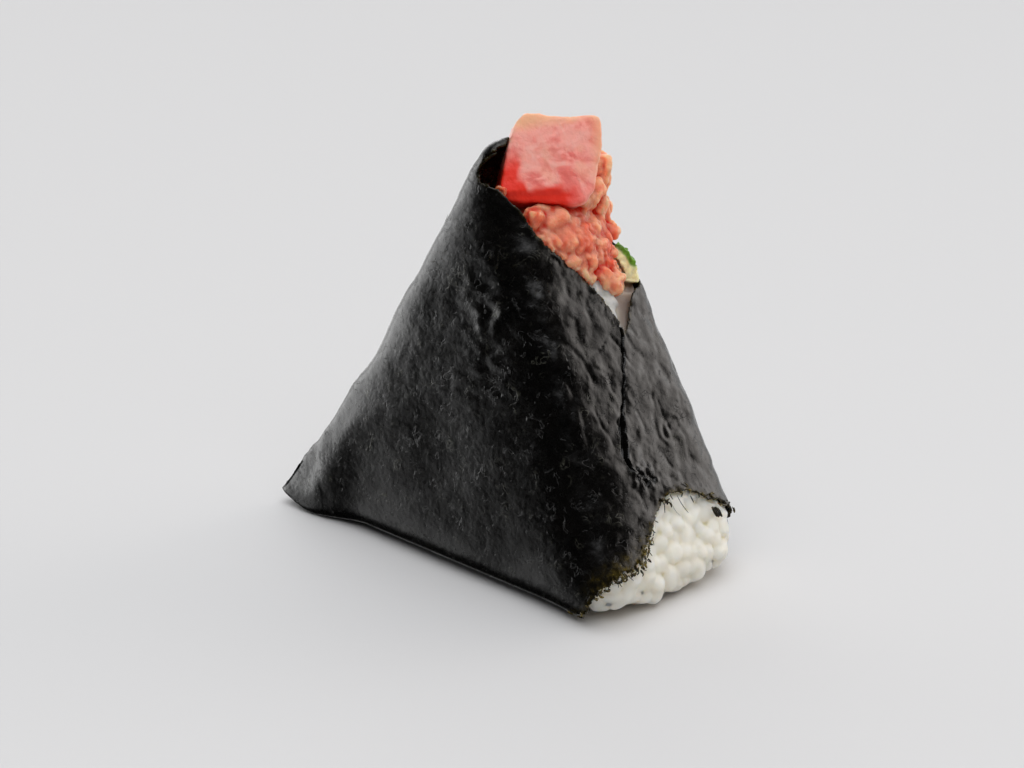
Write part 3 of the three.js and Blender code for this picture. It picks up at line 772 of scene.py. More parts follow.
def crinkles(points, normals):
    """How far the sheet stands out or sinks over the even outline."""
    share, away, side = seam_place(points)
    x, y, z = points.T
    lift = smooth(z, 0.8, 6.0)
    slanted = smooth(normals[:, 0], 0.45, 0.8)  # the side that carries the seam
    broad = smooth(np.abs(normals[:, 1]), 0.55, 0.95)  # front and back, pressed flatter
    peak = smooth(z, 58.0, 80.0)
    height = 0.12 * noise_at(points, 12.0, 14) - 0.6 * broad * swell(x, y, z)
    height += (0.03 + 0.12 * slanted + 0.07 * (1 - broad)) * (grain_bumps(points) - 0.45)
    lying = points * np.array((0.7, 0.7, 1.3))
    ridged = 1 - np.abs(noise_at(lying, 4.6, 1)) * 2.2
    height += (0.025 + 0.1 * slanted + 0.14 * peak) * ridged
    warped = points + 1.6 * np.stack([noise_at(points, 4.0, 40 + i) for i in range(3)], -1)
    creased = np.maximum(1 - 5.0 * np.abs(noise_at(warped, 5.2, 15)), 0)
    height -= (0.04 + 0.1 * slanted) * creased
    height += (0.02 + 0.07 * slanted) * noise_at(points, 2.1, 2)
    height += (0.01 + 0.035 * slanted) * noise_at(points, 1.0, 5)

    # Rings of small wrinkles where the sheet was pressed beside the seam.
    off = np.linalg.norm((points - RINGS_MIDDLE) * (1.0, 1.0, 1.5), axis=-1)
    off += 1.8 * noise_at(points, 3.4, 16)
    pressed = np.exp(-((off / 6.5) ** 2)) * smooth(noise_at(points, 4.5, 17), -0.35, 0.15)
    height += 0.12 * pressed * np.cos(off * 2 * math.pi / 2.1)

    # Level creases below the front rim, where the sheet was drawn round the edge.
    drawn = np.exp(-(((x - DRAWN_X) / 9.0) ** 2) - ((z - DRAWN_Z) / 15.0) ** 2)
    drawn *= smooth(-y, 0.0, 12.0)
    stretched = points * np.array((0.35, 0.35, 1.0))
    height += 0.34 * drawn * (1 - np.abs(noise_at(stretched, 2.0, 8)) * 2.6)

    # Folds that run up from the tip, right of a flat strip pressed along the left edge.
    near_tip = smooth(-x, 24.0, 38.0) * (1 - 0.7 * smooth(-x, 40.0, 44.0)) * lift
    folds = np.column_stack((0.85 * x + 0.53 * z, 0.1 * x - 0.16 * z, 0.3 * y))
    height += 0.22 * near_tip * (1 - 2.6 * np.abs(noise_at(folds, 3.4, 4)))
    left, distance = SIDES[3]
    from_strip = distance - points @ left + 0.9 * noise_at(points, 5.0, 18) - STRIP_WIDTH
    sunk = 0.12 * 1.2 * np.log1p(np.exp(-from_strip / 1.2))
    ridge = 0.4 * np.exp(-((from_strip / 4.0) ** 2))
    height += smooth(-y, 8.0, 16.0) * (1 - smooth(z, 14.0, 32.0)) * (ridge - sunk)

    # The two edges of the sheet: a crack with the front edge lapped a little over the other.
    ends = smooth(share, 0.0, 0.05) * (1 - smooth(share, 0.66, 0.73))
    gape = 0.17 + 0.45 * np.exp(-(((share - 0.56) / 0.1) ** 4)) + 0.16 * noise_at(points, 1.3, 6)
    gape = np.maximum(gape, 0.06)
    crack = (1 - smooth(away, gape * 0.7, gape * 1.4)) * ends
    lap = np.tanh(side / 0.25) * np.exp(-np.abs(side) / 4.0) * ends
    height += 0.2 * lap - 1.35 * crack

    # The sheet is crumpled where the seam turns.
    crumpled = np.exp(-(((points - SEAM_TURN) / (3.0, 3.6, 1.9)) ** 2).sum(-1))
    height += 1.1 * crumpled * noise_at(points, 1.2, 9)
    return height * lift


class ONIGIRI_OT_nori(bpy.types.Operator):
    """Add the sheet of nori round the rice"""

    bl_idname = "onigiri.nori"
    bl_label = "Nori sheet"

    def execute(self, context):
        sizes = context.scene.onigiri_sizes
        sheet = add_ball(WRAP_DETAIL)
        # The mesh is split finer along the torn edges and the seam.
        for reach in (1.5, 0.9):
            places = on_surface(egg_ways(sheet))
            edges, _ = nearest(places, np.vstack((PEAK_EDGE, FOOT_EDGE, SEAM_LINE)))
            pick(sheet, edges < reach)
            bpy.ops.mesh.subdivide(number_cuts=1)
            bpy.ops.object.mode_set(mode="OBJECT")
        places = on_surface(egg_ways(sheet))

        tear = sizes.tear_depth / MM
        ragged = noise_at(places, 2.6, 11) + 0.8 * noise_at(places, 0.9, 12)
        ragged += 0.6 * noise_at(places, 0.45, 13)
        peak = within(places, PEAK_EDGE, PEAK_HEART)
        foot = within(places, FOOT_EDGE, HEART)
        worn_here = np.exp(-(((places - WORN_PLACE) / WORN_REACH) ** 2).sum(-1))
        opened = np.minimum(
            peak + 0.7 * tear * ragged, foot - 0.9 * worn_here + (1 + worn_here) * tear * ragged
        )
        normals = surface_normals(places)
        place_points(sheet, places + normals * crinkles(places, normals)[:, None])
        frayed = (1 - smooth(foot, 0.2, 1.2)) * 0.4 + (1 - smooth(foot, 0.5, 5.0)) * worn_here
        frayed += 0.25 * (1 - smooth(peak, 0.1, 0.6))
        keep_values(sheet, "frayed", frayed)

        corners = read_all(sheet.data.loops, "vertex_index", 1, np.int32)[:, 0]
        starts = read_all(sheet.data.polygons, "loop_start", 1, np.int32)[:, 0]
        gone = np.add.reduceat(opened[corners], starts) < 0
        pick(sheet, gone, "faces")
        bpy.ops.mesh.delete(type="FACE")
        bpy.ops.object.mode_set(mode="OBJECT")
        sheet = largest_island(sheet)
        applied(sheet, "SOLIDIFY", thickness=sizes.sheet_thickness, offset=-1.0)
        nori = toasted_nori(context.scene.onigiri_colours)
        finished(sheet, "nori_sheet", nori, ["nori_wrap"])
        return {"FINISHED"}


# Loose threads and torn bits of the sheet: the points that each runs through, and its thickness.
LOOSE_SHREDS = (
    (((41.7, 4.1, 19.6), (42.6, 4.6, 17.8), (43.2, 5.6, 15.8)), 0.16),
    (((41.8, 1.9, 19.4), (42.9, 2.2, 17.4), (43.6, 3.2, 16.2)), 0.07),
    (((41.9, 0.2, 19.4), (42.6, -0.6, 17.6)), 0.2),
    (((42.3, 7.6, 18.6), (43.2, 7.9, 17.4)), 0.22),
    (((44.0, 12.6, 15.2), (44.9, 13.2, 13.2)), 0.6),
    (((44.1, 13.1, 15.0), (45.0, 13.7, 13.0)), 0.6),
    (((44.1, 13.6, 14.9), (45.0, 14.2, 13.1)), 0.6),
    (((44.2, 14.1, 14.6), (45.1, 14.7, 12.8)), 0.6),
)
TORN_STRIP = ((4.4, -11.6, 81.6), (5.5, -11.2, 83.2), (7.0, -10.0, 84.2))
FRINGE_TRIES, HAIRS = 700, 56
HAIR_PLACES = (
    (13.3, -14.3, 64.9), (17.4, -12.7, 63.5), (20.4, -9.9, 60.7), (20.8, -12.5, 58.6),
    (1.0, -13.8, 68.0), (-3.0, -14.6, 63.0),
)


def laid_on(line, lift):
    """Moves points onto the sheet, or a lift above it."""
    for _ in range(3):
        line = line + surface_normals(line) * (lift - outside(line))[:, None]
    line[:, 2] = np.maximum(line[:, 2], 0.2)
    return line


def add_shred(points, thickness):
    """A thin closed thread through points in millimetres."""
    select_none()
    bpy.ops.curve.primitive_nurbs_path_add(radius=1.0, location=(0, 0, 0))
    shred = bpy.context.object
    path = shred.data.splines[0].points
    places = curve(np.array(points, float), step=0.1)
    for i, point in enumerate(path):
        place = places[round(i * (len(places) - 1) / (len(path) - 1))]
        point.co = (*(place * MM), 1.0)
        point.radius = 1.0 if 0 < i < len(path) - 1 else 0.5
    shred.data.bevel_depth = thickness / 2 * MM
    shred.data.bevel_resolution = 1
    shred.data.resolution_u = 3
    shred.data.use_fill_caps = True
    only(shred)
    bpy.ops.object.convert(target="MESH")
    return bpy.context.object


class ONIGIRI_OT_shreds(bpy.types.Operator):
    """Add the torn fringe and the loose threads of the sheet"""

    bl_idname = "onigiri.shreds"
    bl_label = "Nori shreds"

    def execute(self, context):
        random = np.random.default_rng(context.scene.onigiri_sizes.seed + 5)
        shreds = []
        # A fringe along the worn part of the foot opening, and dark threads and strips after it.
        near = np.linalg.norm((FOOT_EDGE - WORN_PLACE) / WORN_REACH, axis=-1)
        for _ in range(FRINGE_TRIES):
            i = random.integers(0, len(FOOT_EDGE))
            if random.random() > math.exp(-0.6 * near[i] ** 2) + 0.12:
                continue
            inwards = unit(FOOT_EDGE.mean(0) - FOOT_EDGE[i])
            start = FOOT_EDGE[i] + inwards * (1.2 - 2.6 * random.random())
            way = unit(inwards * 0.3 + random.normal(size=3) * 0.7)
            length = 0.5 + 1.3 * random.random()
            middle = start + way * length / 2 + 0.3 * random.normal(size=3)
            line = np.stack((start, middle, start + way * length))
            line = laid_on(line, 0.1 + 0.25 * random.random(3))
            shreds.append(add_shred(line, 0.15 + 0.4 * random.random() ** 2))
        worn = sum(len(shred.data.vertices) for shred in shreds)
        shreds.append(add_shred(TORN_STRIP, 0.7))
        for points, thickness in LOOSE_SHREDS:
            shreds.append(add_shred(laid_on(np.array(points), 0.2), thickness))
        # Hairs of seaweed that stand off the sheet below the front rim.
        for _ in range(HAIRS):
            place = np.array(HAIR_PLACES[random.integers(0, len(HAIR_PLACES))])
            start = place + random.normal(size=3) * (2.2, 1.0, 2.2)
            way = unit(random.normal(size=3) * (1.0, 0.6, 1.0))
            line = start + np.outer((0, 0.5, 1), way) * (1.2 + 1.8 * random.random())
            line += 0.3 * random.normal(size=(3, 3))
            shreds.append(add_shred(laid_on(line, 0.1 + 0.15 * random.random(3)), 0.07))
        all_shreds = joined(shreds)
        frayed = np.full(len(all_shreds.data.vertices), 1.0)
        frayed[worn:] = 0.2
        keep_values(all_shreds, "frayed", frayed)
        finished(all_shreds, "nori_shreds", bpy.data.materials["toasted_nori"])
        return {"FINISHED"}


# ---- The rice -------------------------------------------------------------------------------

# The hollows in the rice, each with its middle and radii: the pocket that holds the filling, and
# the one between the filling and the back rim.
HOLLOWS = (((11.5, 1.5, 66.0), (14.3, 15.3, 15.3)), ((21.6, 12.0, 59.4), (3.6, 4.6, 4.6)))
RICE_TOP = 72.0
DRAWN_CORNERS = points_from((43.0, -16.0, 2.0), (44.5, 18.5, 5.0))  # ends of the foot opening
NOTCH_EDGE = points_from((22.2, 1.5, 58.6), (26.4, 4.4, 50.6), (24.8, 6.4, 53.2), (22.8, 5.4, 57.0))


def spread(edge, start, inset, spacing, tries, random):
    """Places over the part of the surface that shows through an edge."""
    middle = edge.mean(0)
    first = random.integers(0, len(edge), tries)
    along = edge[first] + (edge[(first + 1) % len(edge)] - edge[first]) * random.random((tries, 1))
    through = middle + (along - middle) * np.sqrt(random.random((tries, 1)))
    chosen = []
    for point in on_surface(unit(through - start), inset, start):
        if all(np.linalg.norm(point - other) > spacing for other in chosen):
            chosen.append(point)
    return np.array(chosen)


def add_blob(centre, radii, axes, detail=3, boxy=2.0):
    """A rounded lump, squarer as boxy rises over 2; its own axes are the rows of a turn."""
    blob = add_ball(detail)
    ball = unit(points_of(blob))
    ball = ball / (np.abs(ball) ** boxy).sum(-1, keepdims=True) ** (1 / boxy)
    place_points(blob, centre + (ball * radii) @ axes)
    return blob


def lying_axes(normal, random, tilt):
    """Axes whose third stands off the surface, with the second along it in a random direction."""
    normal = unit(normal + tilt * random.normal(size=3))
    along = unit(np.cross(normal, random.normal(size=3)))
    return np.stack((np.cross(along, normal), along, normal))


def drawn_back(points):
    """How far the rice draws back at the two lower corners of the opening."""
    away = ((points[:, None] - DRAWN_CORNERS) / 6.0) ** 2
    return np.exp(-away.sum(-1)).sum(-1)


def held_under(points, drop=0.1, clearance=1.3):
    """Draws points in softly where the sheet or the ball's own outline holds them."""
    foot = within(points, FOOT_EDGE, HEART)
    peak = within(points, PEAK_EDGE, PEAK_HEART)
    open_here = np.maximum(smooth(-foot, 0.0, 1.6), smooth(-peak, -0.3, 0.9))
    limit = -clearance + (clearance - drop - drawn_back(points)) * open_here
    for _ in range(3):
        away = outside(points)
        past = away - limit + 0.4
        held = np.where(past > 0, limit - 0.4 + 0.4 * np.tanh(past / 0.4), away)
        steepness = outside(points + 0.1 * surface_normals(points)) - away
        points = points - surface_normals(points) * ((away - held) * 0.1 / steepness)[:, None]
        limit = np.maximum(limit, held)
    points[:, 2] = np.maximum(points[:, 2], 0.05)
    return points


def painted_shade_at(points):
    """Where shade is painted on the rice, tinged pink as by light off the filling: a little over all
    the rice up high, and most behind the notch of the sheet.
    """
    _, y, z = points.T
    return (0.2 + 0.7 * smooth(y, 5.2, 7.2)) * smooth(z, 44.0, 49.0)


class ONIGIRI_OT_rice(bpy.types.Operator):
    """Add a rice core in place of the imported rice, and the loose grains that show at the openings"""

    bl_idname = "onigiri.rice"
    bl_label = "Rice"

    def execute(self, context):
        sizes = context.scene.onigiri_sizes
        random = np.random.default_rng(sizes.seed)
        material = steamed_rice(context.scene.onigiri_colours)

        core = add_ball(RICE_DETAIL)
        ways = egg_ways(core)
        foot = within(on_surface(ways), FOOT_EDGE, HEART)
        under_seam = 0.8 * (1 - smooth(seam_place(on_surface(ways))[1], 1.0, 3.0))
        inset = RICE_INSET + 0.5 + 0.6 * smooth(-foot, -1.0, 1.5) + under_seam
        place_points(core, on_surface(ways, inset))
        for middle, radii in HOLLOWS:
            cavity = add_blob(np.array(middle), np.array(radii), np.eye(3), detail=5)
            applied(core, "BOOLEAN", operation="DIFFERENCE", object=cavity, solver="EXACT")
            bpy.data.objects.remove(cavity)
        pick(core, np.ones(len(core.data.vertices), bool))
        bpy.ops.mesh.bisect(
            plane_co=(0, 0, RICE_TOP * MM), plane_no=(0, 0, 1), use_fill=True, clear_outer=True
        )
        bpy.ops.object.mode_set(mode="OBJECT")
        core = largest_island(core)
        # Grains stand out on the walls of the hollow.
        points = points_of(core)
        walls = smooth(-outside(points), RICE_INSET + 0.9, RICE_INSET + 1.6)
        walls *= smooth(points[:, 2], 44, 50)
        grains = grain_bumps(points, 3.3, 5)
        place_points(core, points + normals_of(core) * (0.9 * walls * (grains - 0.3))[:, None])
        # Painted shade: the core is a little darker than the grain tops, except where grains stand out
        # on the walls of the hollow.
        keep_values(core, "raised", 0.35 + 0.5 * walls * grains)
        # Painted shade, tinged pink, up high by the filling.
        keep_values(core, "stained", painted_shade_at(points))
        finished(core, "rice_core", material, ["rice_ball"])

        radii = np.array((sizes.grain_width, sizes.grain_length, 0.94 * sizes.grain_width)) / 2 / MM
        grains = []
        # Each layer of grains at an opening: how deep it lies, the gap between its grains, how many
        # places are tried, and the grains' share of the full size.
        for edge, start, deep, gap, tries, share in (
            (FOOT_EDGE, HEART, 2.3, 2.5, 5000, 1.06),
            (FOOT_EDGE, HEART, 3.0, 2.3, 4000, 1.2),
            (NOTCH_EDGE, PEAK_HEART, 1.5, 1.4, 400, 0.6),
            (NOTCH_EDGE, PEAK_HEART, 2.6, 2.0, 300, 1.0),
        ):
            places = spread(edge, start, deep, gap, tries, random)
            places -= surface_normals(places) * drawn_back(places)[:, None]
            places[:, 2] = np.maximum(places[:, 2], radii[2] + 0.1)
            for place, normal in zip(places, surface_normals(places)):
                size = radii * share * (1 + 0.18 * random.normal())
                grains.append(add_blob(place, size, lying_axes(normal, random, 0.7), boxy=2.6))
        heap = joined(grains)
        applied(heap, "REMESH", mode="VOXEL", voxel_size=0.27 * MM)
        applied(heap, "SMOOTH", factor=0.5, iterations=9)
        place_points(heap, held_under(points_of(heap)))
        # Painted shade: darker in the creases between the grains and lighter on their tops, by how far
        # each point stands out.
        keep_values(heap, "raised", raised_over(heap, 30, 1.6))
        # Painted shade, tinged pink, up high by the filling.
        keep_values(heap, "stained", painted_shade_at(points_of(heap)))
        finished(heap, "rice_grains", material)
        return {"FINISHED"}


# ---- The filling ----------------------------------------------------------------------------

# The block of raw tuna: the middle of its cut face, the way that this looks, in degrees from the
# front and up from level, and its outline, to the right and up from the middle.
BLOCK_CENTRE = np.array((14.2, 0.9, 83.0))
BLOCK_TURN, BLOCK_TILT = 52.0, 27.0
BLOCK_FACE = points_from(
    (-12.7, -6.0), (-12.2, -8.0), (-8.6, -8.7), (-4.8, -8.8), (-1.0, -9.2), (1.8, -9.6), (4.2, -8.9),
    (5.6, -6.8), (6.6, -2.4), (7.6, 2.0), (7.8, 5.6), (7.6, 7.3), (6.8, 7.9), (2.0, 7.8), (-2.6, 8.0),
    (-4.2, 8.7), (-7.0, 8.9), (-8.6, 7.3), (-10.4, 2.6), (-11.8, -1.8),
)
# How far the block reaches down, back, and to the left and right, where small lumps would cross it.
BLOCK_LOW, BLOCK_BACK, BLOCK_LEFT, BLOCK_RIGHT = -9.8, -9.0, -10.0, 7.5

MINCE_EDGE = points_from(
    (13.5, -7.5, 72.5), (20.0, -3.0, 63.5), (22.8, 4.0, 57.6), (19.2, 9.8, 62.0),
    (13.6, 12.6, 70.0), (11.0, 12.0, 77.0),
)
HEAP_CENTRE = np.array((10.5, 1.5, 62.5))
HEAP_RADII = np.array((11.0, 12.5, 12.0))
SHOULDER_CENTRE = np.array((13.4, 7.4, 72.8))
SHOULDER_RADII = np.array((3.4, 4.6, 6.6))
SHOULDER_LUMPS = 70
BIG_LUMP = (15.3, -2.4, 70.0)
# The lumps that stand out: middle, radius, and how fatty each is from 0 to 1.
LUMPS = (
    (15.0, -2.4, 70.4, 3.4, 0.8), (14.6, 1.5, 70.8, 2.4, 0.6), (15.9, -2.1, 67.6, 3.2, 0.6),
    (15.6, -2.6, 69.0, 3.2, 0.8), (12.6, 12.4, 76.4, 2.3, 1.0), (16.2, -0.2, 68.4, 2.2, 0.5),
    (8.9, -11.2, 77.0, 1.0, 0.2),
    (13.3, -3.4, 72.0, 2.4, 0.8), (15.7, 5.6, 68.4, 1.9, 0.9), (16.1, 1.7, 67.9, 1.8, 0.2),
    (13.7, 5.8, 71.4, 1.3, 0.9), (12.9, -6.8, 72.2, 1.8, 0.5), (13.8, -6.8, 71.2, 2.2, 0.4),
    (15.5, -5.9, 68.0, 2.4, 0.5), (17.4, -3.9, 64.7, 2.4, 0.6), (18.3, -0.8, 63.0, 2.2, 0.8),
    (19.9, 0.6, 60.0, 2.2, 1.0), (17.1, 1.0, 65.4, 2.0, 0.1), (17.6, 5.6, 64.8, 2.0, 0.3),
    (16.6, 9.3, 66.4, 2.4, 0.4), (14.1, 11.2, 69.2, 2.4, 0.6), (19.4, 7.3, 61.5, 2.3, 0.3),
    (20.9, 5.4, 58.0, 2.6, 1.0), (21.2, 7.2, 57.3, 2.4, 0.9), (18.8, 3.2, 62.3, 1.9, 0.7),
    (13.4, 12.4, 70.4, 2.2, 1.0), (15.6, 11.8, 66.6, 2.4, 0.8), (18.2, 9.4, 62.6, 2.1, 0.5),
    (19.8, 8.6, 59.4, 1.9, 0.6), (12.6, 12.8, 74.8, 2.0, 1.0), (12.4, 12.6, 78.2, 2.3, 1.0),
)


def facing_axes(turn, tilt):
    """Axes whose third looks outwards, in degrees from the front and up from level."""
    turn, tilt = math.radians(turn), math.radians(tilt)
    right = np.array((math.cos(turn), math.sin(turn), 0.0))
    out = np.array(
        (math.sin(turn) * math.cos(tilt), -math.cos(turn) * math.cos(tilt), math.sin(tilt))
    )
    return np.stack((right, np.cross(out, right), out))


def big_lump_away(points):
    """Distance from the large smooth lump under the block, taken as a little taller than wide."""
    return np.linalg.norm((points - BIG_LUMP) * (1.0, 1.0, 0.8), axis=-1)


def fat_at(points, lumps):
    """How fatty the heap is at each point, blended between the lumps that are near."""
    weights, total = np.zeros(len(points)), np.zeros(len(points))
    for place, radius, fat in lumps:
        away = np.linalg.norm(points - place, axis=-1) - radius
        share = np.exp(-np.clip(away, -4, 20) / 0.45)
        weights += share
        total += share * fat
    return total / weights


class ONIGIRI_OT_mince(bpy.types.Operator):
    """Add the heap of minced tuna in the open peak"""

    bl_idname = "onigiri.mince"
    bl_label = "Minced tuna"

    def execute(self, context):
        sizes = context.scene.onigiri_sizes
        random = np.random.default_rng(sizes.seed + 16)
        axes = facing_axes(BLOCK_TURN, BLOCK_TILT)
        blobs = [
            add_blob(HEAP_CENTRE, HEAP_RADII, np.eye(3), detail=4),
            add_blob(SHOULDER_CENTRE, SHOULDER_RADII - 1.2, np.eye(3), detail=4),
        ]
        lumps = [(np.array(lump[:3]), lump[3], lump[4]) for lump in LUMPS]
        edge = curve(MINCE_EDGE, closed=True)
        for place in spread(edge, PEAK_HEART, inset=2.2, spacing=2.6, tries=2500, random=random):
            away_from_rim = place[1] < 8.5 or place[2] > 66.0
            if away_from_rim and big_lump_away(place[None])[0] > 5.6:
                lumps.append((place, 1.0 + 1.5 * random.random() ** 1.5, random.random() ** 2))
        for _ in range(SHOULDER_LUMPS):
            way = unit(random.normal(size=3))
            place = SHOULDER_CENTRE + way * SHOULDER_RADII * (0.6 + 0.25 * random.random())
            lumps.append((place, 0.8 + 1.6 * random.random() ** 1.6, 0.6 + 0.4 * random.random()))
        for place, radius, fat in lumps:
            right, up, out = axes @ (place - BLOCK_CENTRE)
            in_block = up + radius > BLOCK_LOW and BLOCK_LEFT < right < BLOCK_RIGHT
            if in_block and out > BLOCK_BACK and radius < 2.0:
                continue
            size = radius * np.array((0.9, 0.85 + 0.7 * random.random(), 0.8))
            normal = surface_normals(place[None])[0]
            blobs.append(add_blob(place, size, lying_axes(normal, random, 0.8), boxy=3.4))
        heap = joined(blobs)
        applied(heap, "REMESH", mode="VOXEL", voxel_size=0.28 * MM)
        applied(heap, "SMOOTH", factor=0.5, iterations=2)
        # Crumbs: sharp creases between small rounded tops, at three sizes.
        for size, depth in ((5.2, 0.9), (2.4, 0.7), (1.2, 0.26)):
            points = points_of(heap)
            rough = depth * (np.abs(noise_at(points, size, int(size * 10))) * 1.6 - 0.35)
            rough *= 0.25 + 0.75 * smooth(big_lump_away(points), 3.6, 5.4)
            place_points(heap, points + normals_of(heap) * rough[:, None])
        applied(heap, "SMOOTH", factor=0.5, iterations=1)
        points = points_of(heap)
        normals = surface_normals(points)
        # Under the sheet the heap stays clear of it.
        past = outside(points) + RICE_INSET + 0.3
        covered = within(points, PEAK_EDGE, PEAK_HEART) > -0.6
        points = np.where((covered & (past > 0))[:, None], points - normals * past[:, None], points)
        place_points(heap, points)
        fatty = np.clip(fat_at(points, lumps) + 0.5 * noise_at(points, 1.9, 52), 0, 1)
        own = (points - BLOCK_CENTRE) @ axes.T
        # Painted shade under the block: the heap there is counted lower, so it takes the red of the
        # cracks.
        shade_under_block = np.exp(-(((own[:, 1] + 9.5) / 1.6) ** 2)) * smooth(-own[:, 0], -6.0, -3.0)
        keep_values(heap, "fatty", fatty)
        keep_values(heap, "raised", np.clip(raised_over(heap, 24, 1.3) - 0.25 * shade_under_block, 0, 1))
        flesh = minced_tuna_flesh(context.scene.onigiri_colours)
        finished(heap, "minced_tuna_heap", flesh, ["minced_tuna"])
        return {"FINISHED"}


def add_slab(face, thickness, centre, axes):
    """A flat outline drawn back by a thickness, with the face at the centre."""
    select_none()
    bpy.ops.mesh.primitive_circle_add(vertices=len(face), radius=1.0, fill_type="NGON")
    slab = bpy.context.object
    place_points(slab, np.column_stack((face, np.zeros(len(face)))))
    pick(slab, np.ones(len(face), bool))
    bpy.ops.mesh.extrude_region_move(TRANSFORM_OT_translate={"value": (0, 0, -thickness * MM)})
    bpy.ops.mesh.select_all(action="SELECT")
    bpy.ops.mesh.normals_make_consistent(inside=False)
    bpy.ops.object.mode_set(mode="OBJECT")
    place_points(slab, centre + points_of(slab) @ axes)
    return slab


class ONIGIRI_OT_block(bpy.types.Operator):
    """Add the block of raw tuna at the top"""

    bl_idname = "onigiri.block"
    bl_label = "Tuna block"

    def execute(self, context):
        thickness = context.scene.onigiri_sizes.block_thickness / MM
        axes = facing_axes(BLOCK_TURN, BLOCK_TILT)
        block = add_slab(BLOCK_FACE, thickness, BLOCK_CENTRE, axes)
        applied(block, "BEVEL", width=0.8 * MM, segments=3, limit_method="ANGLE")
        applied(block, "REMESH", mode="VOXEL", voxel_size=0.33 * MM)
        applied(block, "SMOOTH", factor=0.5, iterations=4)
        points = points_of(block)
        own = (points - BLOCK_CENTRE) @ axes.T
        out = unit(own - np.array((-1.5, -0.5, -thickness / 2)))
        right, up, depth = own.T
        # Its lower edge is undercut, deepest to the left.
        undercut = smooth(-up, 6.2, 7.8) * (1 - smooth(right, -2.0, 3.0)) * smooth(depth, -3.0, -0.5)
        rough = 0.35 * noise_at(points, 5.0, 31) + 0.16 * noise_at(points, 1.7, 32)
        rough += 0.08 * noise_at(points, 0.8, 34)
        moved = (out @ axes) * rough[:, None] - axes[2] * (0.6 * undercut)[:, None]
        place_points(block, points + moved)
        fatty = smooth(up - 0.15 * right, 5.2, 8.4) + 0.7 * smooth(right, 4.6, 7.4)
        fatty += 0.25 * smooth(noise_at(points, 3.4, 33), 0.1, 0.6)
        # On the cut sides thin pale seams of fat run through the pink.
        seams = 1 - smooth(np.abs(np.sin(depth * 1.1 + 1.6 * noise_at(points, 5.0, 36))), 0.1, 0.5)
        fatty = np.where(depth < -1.2, 0.35 * fatty + 0.8 * seams, fatty)
        # Painted shade in deep red along the lower edge and up the lower left side, where the block
        # turns from the light.
        wander = 1.1 * noise_at(points, 2.2, 35)
        low = smooth(-up + wander, 4.9, 7.3) * (1 - 0.85 * smooth(right, -0.5, 3.5))
        deep = low + smooth(-right - 0.25 * up + wander, 7.9, 10.6) * (1 - smooth(up, -3.0, 2.5))
        keep_values(block, "fatty", np.clip(fatty, 0, 1))
        keep_values(block, "deep", np.clip(deep, 0, 1))
        flesh = raw_tuna_flesh(context.scene.onigiri_colours)
        finished(block, "tuna_block_cut", flesh, ["tuna_block"])
        return {"FINISHED"}


ONION_MIDDLE = np.array((21.2, 13.9, 61.0))  # of the skin, on the cut face
ONION_TURN, ONION_TILT = 44.0, 20.0
ONION_OUTER, ONION_INNER, ONION_DEPTH = 8.6, 6.0, 3.0
ONION_LEAN, ONION_SPAN = 27.0, 62.0  # the stretch of the ring that the slice keeps, in degrees


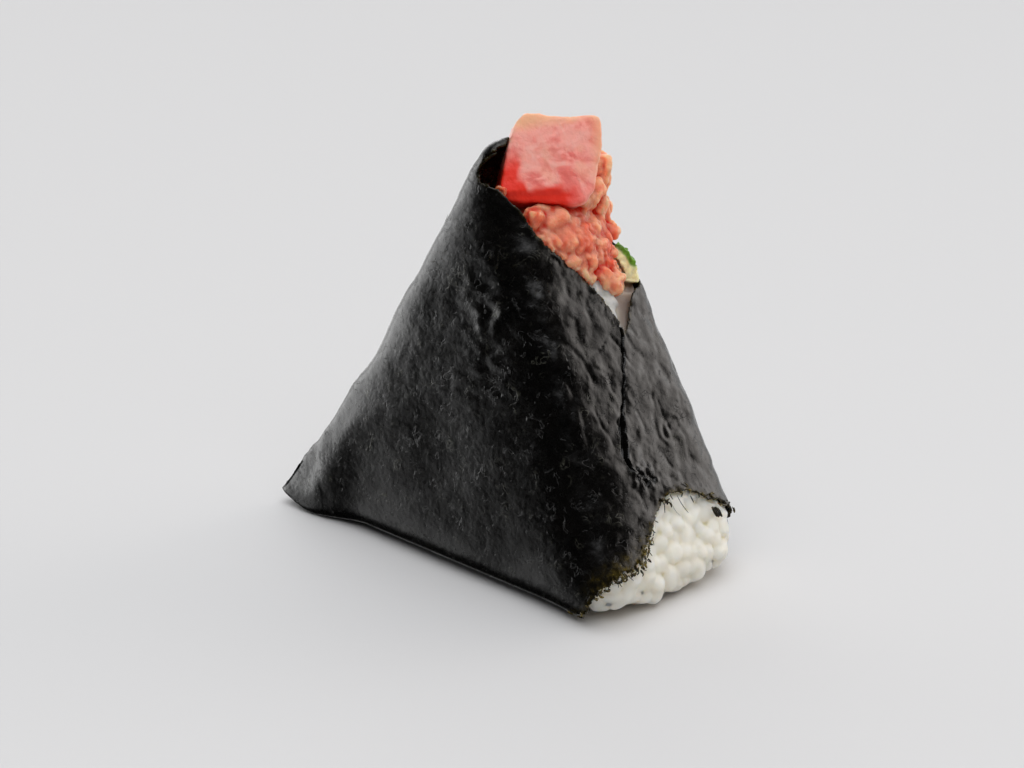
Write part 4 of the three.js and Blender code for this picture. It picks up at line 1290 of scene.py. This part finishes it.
class ONIGIRI_OT_onion(bpy.types.Operator):
    """Add the slice of spring onion at the back rim"""

    bl_idname = "onigiri.onion"
    bl_label = "Spring onion"

    def execute(self, context):
        axes = facing_axes(ONION_TURN, ONION_TILT)
        ends = ONION_LEAN - ONION_SPAN / 2, ONION_LEAN + ONION_SPAN / 2
        turns = np.radians(np.linspace(*ends, 13))
        rim = np.column_stack((np.cos(turns), np.sin(turns)))
        lean = math.radians(ONION_LEAN)
        skin = np.array((math.cos(lean), math.sin(lean))) * ONION_OUTER
        face = np.vstack((rim * ONION_OUTER, rim[::-1] * ONION_INNER)) - skin
        piece = add_slab(face, ONION_DEPTH, ONION_MIDDLE, axes)
        applied(piece, "REMESH", mode="VOXEL", voxel_size=0.2 * MM)
        applied(piece, "SMOOTH", factor=0.5, iterations=2)
        points = points_of(piece)
        own = (points - ONION_MIDDLE) @ axes.T
        radius = np.linalg.norm(own[:, :2] + skin, axis=-1)
        out = unit(np.column_stack((own[:, :2] + skin, np.zeros(len(own)))))
        rough = 0.55 * noise_at(points, 0.9, 41) * smooth(radius, ONION_INNER + 0.8, ONION_OUTER - 0.3)
        ragged = 0.4 * normals_of(piece) * noise_at(points, 1.1, 42)[:, None]
        place_points(piece, points + (out @ axes) * rough[:, None] + ragged)
        upper = smooth(own[:, 1], -2.4, -0.8)
        keep_values(piece, "skin", upper * smooth(radius, ONION_OUTER - 1.3, ONION_OUTER - 0.8))
        flesh = cut_spring_onion(context.scene.onigiri_colours)
        finished(piece, "spring_onion_slice", flesh, ["spring_onion"])
        return {"FINISHED"}


# ---- Panel and registration -----------------------------------------------------------------

OPERATORS = (
    ONIGIRI_OT_stage,
    ONIGIRI_OT_nori,
    ONIGIRI_OT_shreds,
    ONIGIRI_OT_rice,
    ONIGIRI_OT_mince,
    ONIGIRI_OT_block,
    ONIGIRI_OT_onion,
)


class ONIGIRI_PT_panel(bpy.types.Panel):
    """Lists the onigiri's pieces"""

    bl_label = "Onigiri"
    bl_idname = "ONIGIRI_PT_panel"
    bl_space_type = "VIEW_3D"
    bl_region_type = "UI"
    bl_category = "Onigiri"

    def draw(self, context):
        for group in (context.scene.onigiri_sizes, context.scene.onigiri_colours):
            for name in group.bl_rna.properties.keys():
                if name not in {"rna_type", "name"}:
                    self.layout.prop(group, name)
        for operator in OPERATORS:
            self.layout.operator(operator.bl_idname)


CLASSES = (OnigiriSizes, OnigiriColours, *OPERATORS, ONIGIRI_PT_panel)


def register():
    for cls in CLASSES:
        bpy.utils.register_class(cls)
    bpy.types.Scene.onigiri_sizes = PointerProperty(type=OnigiriSizes)
    bpy.types.Scene.onigiri_colours = PointerProperty(type=OnigiriColours)


def unregister():
    del bpy.types.Scene.onigiri_colours
    del bpy.types.Scene.onigiri_sizes
    for cls in reversed(CLASSES):
        bpy.utils.unregister_class(cls)


def main():
    register()
    for operator in OPERATORS:
        group, name = operator.bl_idname.split(".")
        getattr(getattr(bpy.ops, group), name)()


if __name__ == "__main__":
    main()
